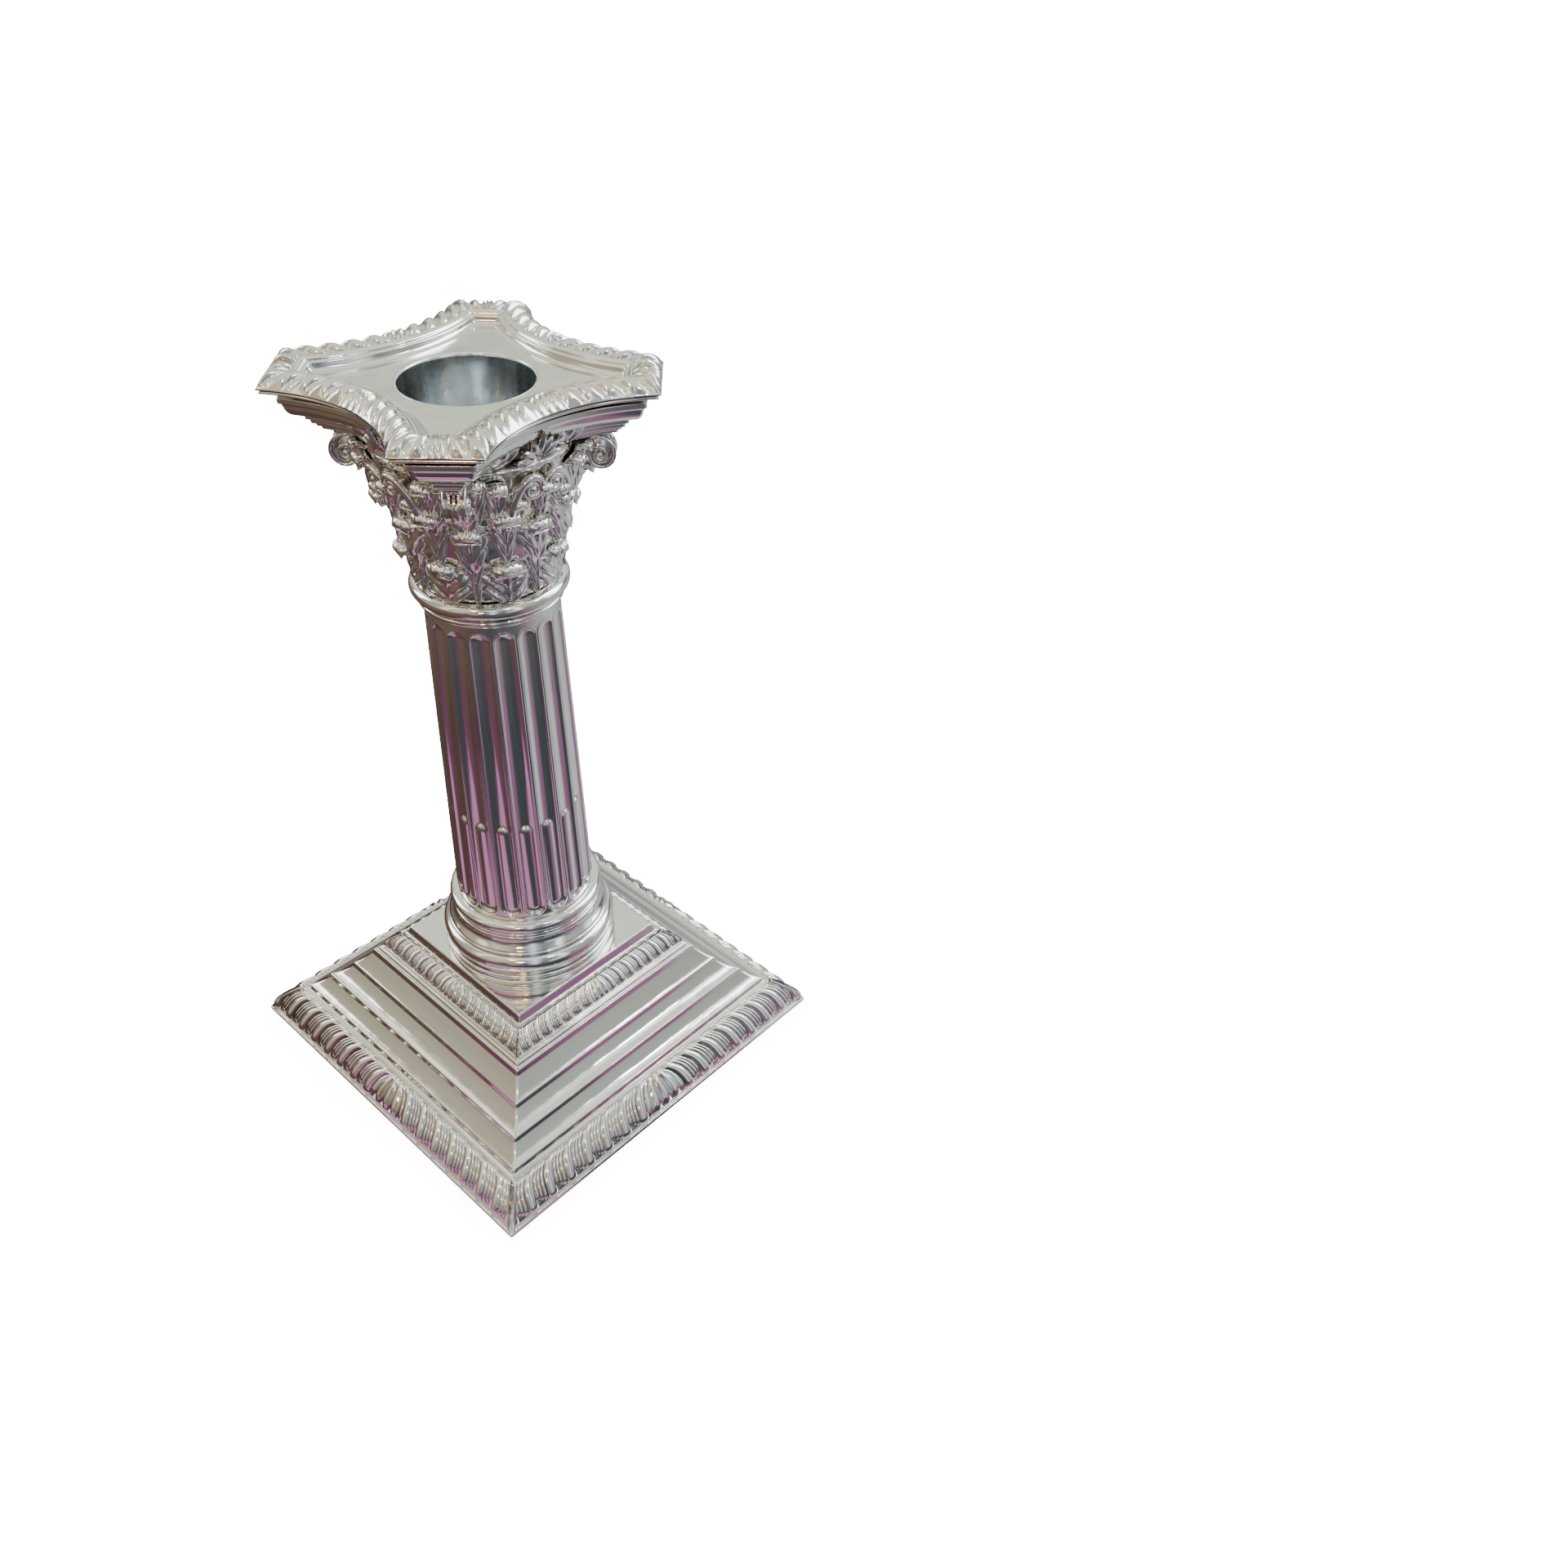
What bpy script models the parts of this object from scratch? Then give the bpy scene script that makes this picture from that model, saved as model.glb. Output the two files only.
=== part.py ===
"""Silver Corinthian-column candlestick with a lift-out nozzle, modelled in metres, +Z up.

The origin is the centre of the green baize pad's underside. The four sides of the foot face
-Y (front), +X (right), +Y (back) and -X (left). Lengths below are millimetres, times MM.
"""

from math import atan2, cos, pi, radians, sin, sqrt

import bmesh
import bpy
from mathutils import Matrix, Vector

MM = 0.001
GAP = 0.3                     # clearance kept between pieces that touch

# Foot: half width and height of each edge of the stepped square foot
FOOT_HALF = 43.0
FLANGE_BOTTOM, FLANGE_TOP = 0.5, 1.4
BED_OUTER = (41.9, 1.5)       # sloping bed of the wide border
BED_INNER = (37.6, 6.2)
STEPS = [(36.8, 7.1), (35.8, 8.1), (33.5, 9.7), (32.2, 11.5), (29.5, 12.7), (28.2, 14.9),
         (25.8, 15.7), (24.7, 19.0), (24.0, 19.6), (23.6, 20.3)]
FOOT_OPENING = 16.0
SHELL_WALL, SHELL_DROP = 1.2, 1.44

# Plinth block and the column standing on it
PLINTH_TOP, PLINTH_HALF = 25.9, 18.3
BASE_TOP, SHAFT_TOP = 40.6, 109.0
SHAFT_LOW_R, SHAFT_HIGH_R = 13.9, 12.0
FLUTES, FLUTE_DEPTH = 18, 1.3
FLUTE_LOW, FLUTE_HIGH = 42.0, 107.4
BORE_R = 9.0                  # bore of the turned column pieces
ROD_R, ROD_TOP = 2.0, 118.5

# Capital
BELL_LOW, BELL_TOP = 114.3, 139.9
LEAVES = 8
ABACUS_LOW, ABACUS_TOP = 140.2, 147.0

# Nozzle: incurved square outline with cut corners
SIDE_CENTRE, SIDE_R = 49.5, 28.0     # each side is an arc about a point out on its axis
CORNER_CUT = 31.5                    # distance of the cut corner from the axis
TRAY_FLOOR = 148.6
RIM_TOP, LOBE_RISE = 151.6, 0.35
CANDLE_R, SOCKET_WALL = 11.05, 0.5
SOCKET_LOW = 126.0

ROUND = 36                    # facets of an ordinary turned piece


def clear_scene():
    for old in list(bpy.data.objects):
        bpy.data.objects.remove(old, do_unlink=True)


def collection(name):
    made = bpy.data.collections.new(name)
    bpy.context.scene.collection.children.link(made)
    return made


def material(name, colour, metallic, roughness):
    made = bpy.data.materials.new(name)
    made.use_nodes = True
    shader = made.node_tree.nodes["Principled BSDF"]
    shader.inputs["Base Color"].default_value = (*colour, 1.0)
    shader.inputs["Metallic"].default_value = metallic
    shader.inputs["Roughness"].default_value = roughness
    return made


def smooth(mesh):
    mesh.shade_smooth()
    mesh.set_sharp_from_angle(angle=radians(35))


def add(name, mesh, look, group):
    """A named object for the mesh, with its material, in its collection."""
    made = bpy.data.objects.new(name, mesh)
    mesh.materials.append(look)
    group.objects.link(made)
    return made


def turned(name, profile, look, group, steps=ROUND, turn=0.0):
    """Screws a profile of (radius, height) about Z; it runs down its outer side.

    The profile closes on itself, unless it starts and ends on the axis as a solid piece does.
    """
    mesh = bpy.data.meshes.new(name)
    shape = bmesh.new()
    points = [shape.verts.new((r * MM * cos(turn), r * MM * sin(turn), z * MM)) for r, z in profile]
    for here, there in zip(points, points[1:]):
        shape.edges.new((here, there))
    if profile[0][0] > 0:
        shape.edges.new((points[-1], points[0]))
    shape.to_mesh(mesh)
    shape.free()
    made = add(name, mesh, look, group)
    screw = made.modifiers.new("Turn", "SCREW")
    screw.steps = steps
    screw.render_steps = steps
    screw.use_merge_vertices = True
    screw.merge_threshold = 0.00001
    screw.use_smooth_shade = steps > 4
    return made


def squared(name, profile, look, group):
    """A square piece: the profile of (half width, height) screwed in four steps."""
    corner = [(half * sqrt(2), z) for half, z in profile]
    return turned(name, corner, look, group, steps=4, turn=pi / 4)


def ring(inner_r, outer_r, low, high):
    """Profile of a plain ring or tube, running down its outer side."""
    return [(outer_r, high), (outer_r, low), (inner_r, low), (inner_r, high)]


def torus_profile(inner_r, outer_r, low, high, points):
    """A ring whose outer side is a half round between low and high."""
    middle, rise = (low + high) / 2, (high - low) / 2
    bulge = [pi / 2 - pi * i / (points - 1) for i in range(points)]
    outer = [(outer_r - rise + rise * cos(a), middle + rise * sin(a)) for a in bulge]
    return outer + [(inner_r, low), (inner_r, high)]


def skin(name, rows, look, group, closed_rows=True, caps=False):
    """Joins rows of points into one closed body. Each row is one section of the piece.

    closed_rows joins the last row to the first; caps closes the first and last rows instead.
    """
    shape = bmesh.new()
    made = [[shape.verts.new(Vector(p) * MM) for p in row] for row in rows]
    count = len(made)
    for i in range(count if closed_rows else count - 1):
        here, there = made[i], made[(i + 1) % count]
        for j in range(len(here)):
            k = (j + 1) % len(here)
            shape.faces.new((here[j], here[k], there[k], there[j]))
    if caps:
        shape.faces.new(made[0])
        shape.faces.new(made[-1])
    bmesh.ops.recalc_face_normals(shape, faces=shape.faces)
    mesh = bpy.data.meshes.new(name)
    shape.to_mesh(mesh)
    shape.free()
    smooth(mesh)
    return add(name, mesh, look, group)


# ---------------------------------------------------------------- foot

def shell_inside():
    """The inner face of the stamped shell, from its border bed up to its top."""
    edges = [(BED_INNER[0] + 0.2, BED_INNER[1]), *STEPS[::2]]
    return [(half - SHELL_WALL, z - SHELL_DROP) for half, z in edges]


def foot_shell(look, group):
    outer = [(FOOT_HALF, FLANGE_BOTTOM), (FOOT_HALF, FLANGE_TOP), BED_OUTER, BED_INNER] + STEPS
    inner = shell_inside()
    top = STEPS[-1][1]
    opening = [(FOOT_OPENING, top), (FOOT_OPENING, top - SHELL_DROP)]
    lip = [(41.4, 1.1), (41.4, FLANGE_BOTTOM)]
    profile = list(reversed(outer)) + list(reversed(lip)) + inner + list(reversed(opening))
    squared("foot_shell", profile, look, group)


def mitred_strip(name, profile, lobes, lobe_rise, turn, look, group):
    """A border strip along the -Y side, mitred at both ends and turned to its own side.

    profile lists (half width, height, share of the lobe rise) around the section.
    """
    rows = []
    for i in range(2 * lobes + 1):
        along = -1 + i / lobes
        rise = lobe_rise * (i % 2)
        row = [Vector((along * half, -half, z + rise * share)) for half, z, share in profile]
        rows.append([Matrix.Rotation(turn, 3, "Z") @ point for point in row])
    return skin(name, rows, look, group, closed_rows=False, caps=True)


SIDES = {"front": 0.0, "right": pi / 2, "back": pi, "left": -pi / 2}


def foot_borders(look, group):
    profile = [(41.7, 2.0, 0), (42.0, 2.1, 0), (41.2, 4.2, 0.6), (39.8, 6.0, 1),
               (38.2, 7.2, 0.8), (37.2, 7.4, 0), (37.2, 6.95, 0)]
    for side, turn in SIDES.items():
        short = [(half - 0.12, z, share) for half, z, share in profile]
        made = mitred_strip("foot_border_" + side, short, 20, 0.5, turn, look, group)
        shrink_ends(made, turn)


def shrink_ends(piece, turn):
    """Draws the mitred ends of a strip in by half the clearance."""
    along = Matrix.Rotation(turn, 3, "Z") @ Vector((1, 0, 0))
    far = max(v.co.dot(along) for v in piece.data.vertices)
    for vertex in piece.data.vertices:
        place = vertex.co.dot(along)
        vertex.co -= along * place / far * 0.25 * MM


def plinth_borders(look, group):
    profile = [(22.5, 20.7, 0), (22.7, 21.0, 0), (22.3, 22.0, 0.7), (21.4, 23.0, 1),
               (20.3, 23.6, 0.6), (19.5, 23.7, 0), (19.5, 20.7, 0)]
    for side, turn in SIDES.items():
        made = mitred_strip("plinth_border_" + side, profile, 14, 0.35, turn, look, group)
        shrink_ends(made, turn)


def plinth_block(look, group):
    top = PLINTH_TOP
    profile = [(PLINTH_HALF - 0.2, top), (PLINTH_HALF, top - 0.2), (18.9, 24.2), (19.1, 20.6),
               (10.0, 20.6), (10.0, top)]
    squared("plinth_block", profile, look, group)


# ---------------------------------------------------------------- column

def column_base(look, group):
    lower = [(18.0 - 1.1 + 1.1 * cos(a), 30.6 + 2.0 * sin(a)) for a in arc(80, -80, 6)]
    middle = [(17.0 - 0.9 + 0.9 * cos(a), 35.1 + 1.6 * sin(a)) for a in arc(80, -80, 5)]
    upper = [(15.8 - 1.3 + 1.3 * cos(a), 39.2 + 1.3 * sin(a)) for a in arc(80, -80, 5)]
    foot = [(17.6, 28.2), (17.9, 28.0), (18.0, 26.2)]
    profile = [(14.2, BASE_TOP), *upper, (14.9, 37.5), *middle, *lower, *foot,
               (BORE_R, 26.2), (BORE_R, BASE_TOP)]
    turned("column_base", profile, look, group, steps=40)


def arc(start, end, points):
    return [radians(start + (end - start) * i / (points - 1)) for i in range(points)]


def shaft_radius(z):
    share = (z - BASE_TOP) / (SHAFT_TOP - BASE_TOP)
    return SHAFT_LOW_R + (SHAFT_HIGH_R - SHAFT_LOW_R) * share


def column_shaft(look, group):
    """A fluted drum: the flutes are full depth between their rounded ends."""
    levels = [(BASE_TOP + GAP, 0), (FLUTE_LOW, 0), (FLUTE_LOW + 1.5, 1), (64.0, 1),
              (FLUTE_HIGH - 1.5, 1), (FLUTE_HIGH, 0), (SHAFT_TOP, 0)]
    rows = []
    for z, depth in levels:
        rows.append([flute_point(i, z, depth) for i in range(FLUTES * 4)])
    bore = BORE_R - 0.4
    inner = [[(bore * cos(a), bore * sin(a), z) for a in flute_angles()]
             for z in (SHAFT_TOP, BASE_TOP + GAP)]
    skin("column_shaft", rows + inner, look, group)


def flute_angles():
    return [2 * pi * i / (FLUTES * 4) for i in range(FLUTES * 4)]


def flute_point(i, z, depth):
    """Four points to a flute: its two arrises, then its floor."""
    width = 2 * pi / FLUTES
    offset = (-0.40, -0.22, 0.22, 0.40)[i % 4] * width
    angle = (i // 4) * width + offset
    sunk = FLUTE_DEPTH * depth if i % 4 in (1, 2) else 0
    radius = shaft_radius(z) - sunk
    return (radius * cos(angle), radius * sin(angle), z)


def necking(look, group):
    thin = torus_profile(11.0, 13.1, SHAFT_TOP + GAP, 110.7, 5)
    turned("neck_ring_thin", thin, look, group)
    wide = torus_profile(11.0, 14.2, 111.0, 114.0, 7)
    turned("neck_ring_wide", wide, look, group)


# ---------------------------------------------------------------- capital

BELL_OUTLINE = [(12.3, BELL_LOW), (12.2, 118.0), (12.7, 123.0), (13.1, 128.0), (13.7, 132.0),
                (14.6, 136.0), (15.4, 138.4), (15.6, 139.3), (15.4, BELL_TOP)]
LINER_SEAT = 124.3


def bell(look, group):
    inside = [(11.0, BELL_LOW), (11.0, LINER_SEAT - 0.5), (12.55, LINER_SEAT), (12.55, BELL_TOP)]
    turned("capital_bell", list(reversed(BELL_OUTLINE)) + inside, look, group)


def bell_radius(z):
    for (r0, z0), (r1, z1) in zip(BELL_OUTLINE, BELL_OUTLINE[1:]):
        if z <= z1:
            return r0 + (r1 - r0) * max(z - z0, 0) / (z1 - z0)
    return BELL_OUTLINE[-1][0]


def leaf_tier(name, low, high, dip, tip_r, phase, look, group):
    """A ring of leaves round the bell; each leaf rises to high and curls out to tip_r."""
    rows = []
    steps = LEAVES * 6
    for i in range(steps):
        angle = 2 * pi * i / steps + phase
        share = 0.5 + 0.5 * cos(LEAVES * (angle - phase))
        top = high - dip * (1 - share)
        back = bell_radius(low) + GAP
        back_top = bell_radius(top) + GAP
        lip = back_top + 0.7 + (tip_r - back_top - 0.7) * share
        section = [(back, low), (back_top, top), (lip - 0.4, top), (lip, top - 0.5),
                   (lip - 0.4, top - 1.3), (back_top + 0.6 + 0.5 * share, top - 2.2),
                   (back + 0.9 + 0.3 * share, low)]
        rows.append([(r * cos(angle), r * sin(angle), z) for r, z in section])
    skin(name, rows, look, group)


def flat_outline(name, points, thickness, look, group, matrix):
    """An extruded outline of (across, up) points, made a mesh with welded caps."""
    drawing = bpy.data.curves.new(name, "CURVE")
    drawing.dimensions = "2D"
    drawing.fill_mode = "BOTH"
    drawing.extrude = thickness / 2 * MM
    line = drawing.splines.new("POLY")
    line.points.add(len(points) - 1)
    for point, (across, up) in zip(line.points, points):
        point.co = (across * MM, up * MM, 0, 1)
    line.use_cyclic_u = True
    sketch = bpy.data.objects.new(name + "_sketch", drawing)
    bpy.context.scene.collection.objects.link(sketch)
    ready = sketch.evaluated_get(bpy.context.evaluated_depsgraph_get())
    mesh = bpy.data.meshes.new_from_object(ready)
    shape = bmesh.new()
    shape.from_mesh(mesh)
    bmesh.ops.remove_doubles(shape, verts=shape.verts, dist=0.00001)
    bmesh.ops.recalc_face_normals(shape, faces=shape.faces)
    shape.to_mesh(mesh)
    shape.free()
    bpy.data.objects.remove(sketch, do_unlink=True)
    smooth(mesh)
    made = add(name, mesh, look, group)
    made.matrix_world = matrix
    return made


def volute_outline():
    """The side of a corner scroll: a round eye on a stem that springs from the bell."""
    eye_r, eye_z, scroll = 20.9, 136.7, 3.1
    eye = [(eye_r + scroll * cos(a), eye_z + scroll * sin(a)) for a in arc(95, -150, 11)]
    stem = [(17.6, 133.6), (16.6, 131.0), (15.2, 130.8), (15.6, 133.8), (17.0, 137.6), (18.6, 139.5)]
    return eye + stem


def volutes(look, group):
    upright = Matrix.Rotation(pi / 2, 4, "X")
    corners = {"front_right": -pi / 4, "back_right": pi / 4,
               "back_left": 3 * pi / 4, "front_left": -3 * pi / 4}
    for corner, turn in corners.items():
        place = Matrix.Rotation(turn, 4, "Z") @ upright
        flat_outline("volute_" + corner, volute_outline(), 5.0, look, group, place)


def fleurons(look, group):
    for side, turn in SIDES.items():
        mesh = bpy.data.meshes.new("fleuron_" + side)
        shape = bmesh.new()
        place = Matrix.Rotation(turn, 4, "Z") @ Matrix.Translation((0, -19.0 * MM, 142.9 * MM))
        size = Matrix.Diagonal((3.6, 1.2, 2.8, 1))
        bmesh.ops.create_uvsphere(shape, u_segments=12, v_segments=8, radius=MM,
                                  matrix=place @ size)
        shape.to_mesh(mesh)
        shape.free()
        smooth(mesh)
        add("fleuron_" + side, mesh, look, group)


def incurved(inset, arc_points):
    """The nozzle's outline drawn in by inset: four hollow arcs joined by cut corners."""
    radius = SIDE_R + inset
    cut = (CORNER_CUT - inset) * sqrt(2)
    middle = SIDE_CENTRE + cut
    root = sqrt(middle ** 2 - 2 * (SIDE_CENTRE ** 2 + cut ** 2 - radius ** 2))
    across = (middle - root) / 2
    reach = atan2(cut - across, SIDE_CENTRE - across)
    outline = []
    for side in range(4):
        turn = Matrix.Rotation(side * pi / 2, 3, "Z")
        for i in range(arc_points):
            a = reach * (2 * i / (arc_points - 1) - 1)
            point = Vector((SIDE_CENTRE - radius * cos(a), radius * sin(a), 0))
            outline.append(turn @ point)
    return outline


def incurved_ring(name, profile, arc_points, look, group):
    """Sweeps a closed section of (inset, height, share of the lobe rise) round the outline.

    A negative inset marks a point of the round hole instead: its value is the radius.
    """
    rows = []
    for inset, z, share in profile:
        if inset < 0:
            outline = [point.normalized() * -inset for point in incurved(0, arc_points)]
        else:
            outline = incurved(inset, arc_points)
        rise = LOBE_RISE * share
        rows.append([(p.x, p.y, z + rise * (i % 2)) for i, p in enumerate(outline)])
    skin(name, rows, look, group)


def abacus(look, group):
    bore = -12.55
    profile = [(2.4, ABACUS_TOP, 0), (2.4, 146.2, 0), (3.0, 145.9, 0), (3.7, 144.6, 0),
               (4.7, 143.5, 0), (5.5, 143.2, 0), (5.7, 142.3, 0), (6.5, 142.1, 0),
               (6.7, 141.2, 0), (7.4, 141.0, 0), (7.5, ABACUS_LOW, 0),
               (bore, ABACUS_LOW, 0), (bore, ABACUS_TOP, 0)]
    incurved_ring("abacus", profile, 10, look, group)


# ---------------------------------------------------------------- nozzle

def nozzle_tray(look, group):
    bore = -CANDLE_R
    profile = [(0.5, 148.7, 0), (0.5, 148.2, 0), (3.2, 147.8, 0), (bore, 147.8, 0),
               (bore, TRAY_FLOOR, 0), (7.2, TRAY_FLOOR, 0), (6.4, 149.0, 0), (6.1, 149.8, 0),
               (5.4, 150.2, 0), (3.0, 150.5, 0)]
    incurved_ring("nozzle_tray", profile, 11, look, group)


def nozzle_border(look, group):
    crest = RIM_TOP - LOBE_RISE
    profile = [(0.3, 149.0, 0), (0.0, 149.0, 0), (0.15, 149.8, 0), (1.2, 150.8, 1),
               (2.8, crest, 1), (4.2, 151.2, 0), (5.0, 150.8, 0), (4.9, 150.6, 0),
               (2.9, 150.8, 0)]
    incurved_ring("nozzle_border", profile, 21, look, group)


def nozzle_socket(look, group):
    tube = ring(CANDLE_R, CANDLE_R + SOCKET_WALL, SOCKET_LOW, 147.5)
    turned("nozzle_socket", tube, look, group)


def socket_floor(look, group):
    radius, top = CANDLE_R - GAP, SOCKET_LOW + 1.2
    disc = [(0, top), (radius, top), (radius, SOCKET_LOW), (0, SOCKET_LOW)]
    turned("nozzle_socket_floor", disc, look, group)


# ---------------------------------------------------------------- inside

def core(steel, pitch, wood, baize, silver, group):
    rod = [(0, ROD_TOP), (ROD_R, ROD_TOP), (ROD_R, 1.2), (0, 1.2)]
    turned("centre_rod", rod, steel, group, steps=16)
    turned("rod_washer_low", ring(ROD_R + GAP, 6.0, 3.0, 3.6), steel, group, steps=24)
    turned("rod_nut_low", ring(ROD_R + GAP, 4.2, 1.2, 2.7), steel, group, steps=6)
    turned("top_plate", ring(ROD_R + GAP, 10.6, 114.7, 116.0), steel, group, steps=24)
    turned("rod_nut_top", ring(ROD_R + GAP, 4.2, 116.3, 118.2), steel, group, steps=6)
    turned("column_loading", ring(ROD_R + GAP, 8.3, 21.0, 113.6), pitch, group, steps=24)
    turned("capital_socket", ring(11.85, 12.25, LINER_SEAT + GAP, 146.8), silver, group)
    squared("base_plate", [(35.2, 4.8), (36.0, 1.1), (7.0, 1.1), (7.0, 3.9), (2.4, 3.9),
                           (2.4, 4.8)], wood, group)
    filled = [(half - 0.5, z - 0.5) for half, z in reversed(shell_inside()[1:])]
    low, high = filled[-1][1], filled[0][1]
    squared("foot_loading", [*filled, (5.0, low), (5.0, high)], pitch, group)
    squared("baize_pad", [(0, 0.8), (40.8, 0.8), (41.0, 0.6), (41.0, 0), (0, 0)], baize, group)


def build():
    clear_scene()
    parts = collection("silver_candlestick")
    silver = material("polished_silver", (0.82, 0.81, 0.76), 1.0, 0.14)
    worn = material("satin_silver", (0.66, 0.67, 0.68), 1.0, 0.32)
    steel = material("steel", (0.45, 0.46, 0.47), 1.0, 0.40)
    pitch = material("pitch_filling", (0.05, 0.04, 0.03), 0.0, 0.60)
    wood = material("base_board_wood", (0.35, 0.22, 0.12), 0.0, 0.55)
    baize = material("green_baize", (0.05, 0.19, 0.09), 0.0, 0.95)
    foot_shell(silver, parts)
    foot_borders(silver, parts)
    plinth_block(silver, parts)
    plinth_borders(silver, parts)
    column_base(silver, parts)
    column_shaft(silver, parts)
    necking(silver, parts)
    bell(silver, parts)
    leaf_tier("leaves_lower", BELL_LOW + GAP, 122.6, 3.2, 15.3, pi / LEAVES, silver, parts)
    leaf_tier("leaves_upper", 122.9, 129.6, 3.2, 15.6, 0.0, silver, parts)
    volutes(silver, parts)
    fleurons(silver, parts)
    abacus(silver, parts)
    nozzle_tray(silver, parts)
    nozzle_border(silver, parts)
    nozzle_socket(worn, parts)
    socket_floor(worn, parts)
    core(steel, pitch, wood, baize, silver, parts)


build()
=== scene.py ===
"""Looks of the silver Corinthian-column candlestick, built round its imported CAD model.

Lengths are millimetres, times MM. Heights and radii come from the CAD nodes' boxes.
"""

from math import atan2, cos, exp, hypot, pi, radians, sin, sqrt

import bpy
import numpy as np
from mathutils import Matrix, Vector

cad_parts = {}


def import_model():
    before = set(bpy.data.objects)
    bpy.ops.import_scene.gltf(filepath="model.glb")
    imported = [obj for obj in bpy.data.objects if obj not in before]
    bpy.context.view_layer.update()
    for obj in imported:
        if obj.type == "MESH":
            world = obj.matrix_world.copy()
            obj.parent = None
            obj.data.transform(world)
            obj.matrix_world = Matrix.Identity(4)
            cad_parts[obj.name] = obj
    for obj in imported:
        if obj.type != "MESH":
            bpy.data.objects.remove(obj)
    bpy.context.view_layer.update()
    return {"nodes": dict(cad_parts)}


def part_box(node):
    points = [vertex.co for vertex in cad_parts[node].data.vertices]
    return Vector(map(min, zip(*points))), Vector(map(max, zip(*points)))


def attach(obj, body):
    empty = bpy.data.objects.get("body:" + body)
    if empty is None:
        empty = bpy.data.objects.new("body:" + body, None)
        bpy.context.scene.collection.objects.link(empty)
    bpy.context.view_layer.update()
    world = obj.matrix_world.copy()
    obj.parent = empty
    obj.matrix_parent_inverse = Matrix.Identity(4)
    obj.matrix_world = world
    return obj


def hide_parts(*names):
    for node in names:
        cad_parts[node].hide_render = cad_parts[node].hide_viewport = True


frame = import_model()
MM = 0.001

STAND, NOZZLE = "stand", "nozzle"
SIDES = {"front": 0.0, "right": pi / 2, "back": pi, "left": -pi / 2}
CORNERS = {"front_right": -pi / 4, "back_right": pi / 4,
           "back_left": 3 * pi / 4, "front_left": -3 * pi / 4}


def low(node, axis=2):
    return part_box(node)[0][axis] / MM


def high(node, axis=2):
    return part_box(node)[1][axis] / MM


def new_object(name, data):
    made = bpy.data.objects.new(name, data)
    bpy.context.scene.collection.objects.link(made)
    return made


# -------------------- materials

class Nodes:
    """Small helper that adds and links the nodes of one tree."""

    def __init__(self, tree):
        self.tree = tree

    def add(self, kind, **values):
        node = self.tree.nodes.new(kind)
        for key, value in values.items():
            setattr(node, key, value)
        return node

    def coords(self, kind="Object"):
        return self.add("ShaderNodeTexCoord").outputs[kind]

    def link(self, source, target):
        self.tree.links.new(source, target)

    def ramp(self, source, stops):
        node = self.add("ShaderNodeValToRGB")
        node.color_ramp.elements.remove(node.color_ramp.elements[1])
        for i, (place, colour) in enumerate(stops):
            stop = node.color_ramp.elements[0] if i == 0 else node.color_ramp.elements.new(place)
            stop.position = place
            stop.color = (*colour, 1.0)
        self.link(source, node.inputs["Fac"])
        return node.outputs["Color"]

    def map_range(self, value, start, end, out=(0.0, 1.0), kind="LINEAR"):
        node = self.add("ShaderNodeMapRange", interpolation_type=kind)
        for key, number in zip(("From Min", "From Max", "To Min", "To Max"), (start, end, *out)):
            node.inputs[key].default_value = number
        self.link(value, node.inputs["Value"])
        return node.outputs["Result"]

    def smooth_step(self, value, start, end):
        return self.map_range(value, start, end, kind="SMOOTHSTEP")

    def math(self, operation, *values):
        node = self.add("ShaderNodeMath", operation=operation)
        for value, socket in zip(values, node.inputs):
            self.give(value, socket)
        return node.outputs[0]

    def give(self, value, socket):
        """Sets a socket to a number or a colour, or links an output to it."""
        if isinstance(value, (int, float)):
            socket.default_value = value
        elif isinstance(value, tuple):
            socket.default_value = (*value, 1.0)
        else:
            self.link(value, socket)

    def noise(self, coords, scale, detail=3.0, rough=0.5, stretch=(1, 1, 1)):
        mapping = self.add("ShaderNodeMapping")
        mapping.inputs["Scale"].default_value = stretch
        self.link(coords, mapping.inputs["Vector"])
        node = self.add("ShaderNodeTexNoise")
        node.inputs["Scale"].default_value = scale
        node.inputs["Detail"].default_value = detail
        node.inputs["Roughness"].default_value = rough
        self.link(mapping.outputs["Vector"], node.inputs["Vector"])
        return node.outputs["Fac"]

    def mix(self, fac, a, b, blend="MIX"):
        node = self.add("ShaderNodeMix", data_type="RGBA", blend_type=blend)
        for value, socket in ((fac, node.inputs[0]), (a, node.inputs[6]), (b, node.inputs[7])):
            self.give(value, socket)
        return node.outputs[2]

    def bump(self, height, strength, distance, below=None):
        node = self.add("ShaderNodeBump")
        node.inputs["Strength"].default_value = strength
        node.inputs["Distance"].default_value = distance
        self.link(height, node.inputs["Height"])
        if below is not None:
            self.link(below, node.inputs["Normal"])
        return node.outputs["Normal"]


def new_material(name):
    made = bpy.data.materials.new(name)
    made.use_nodes = True
    return made, Nodes(made.node_tree), made.node_tree.nodes["Principled BSDF"]


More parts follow.
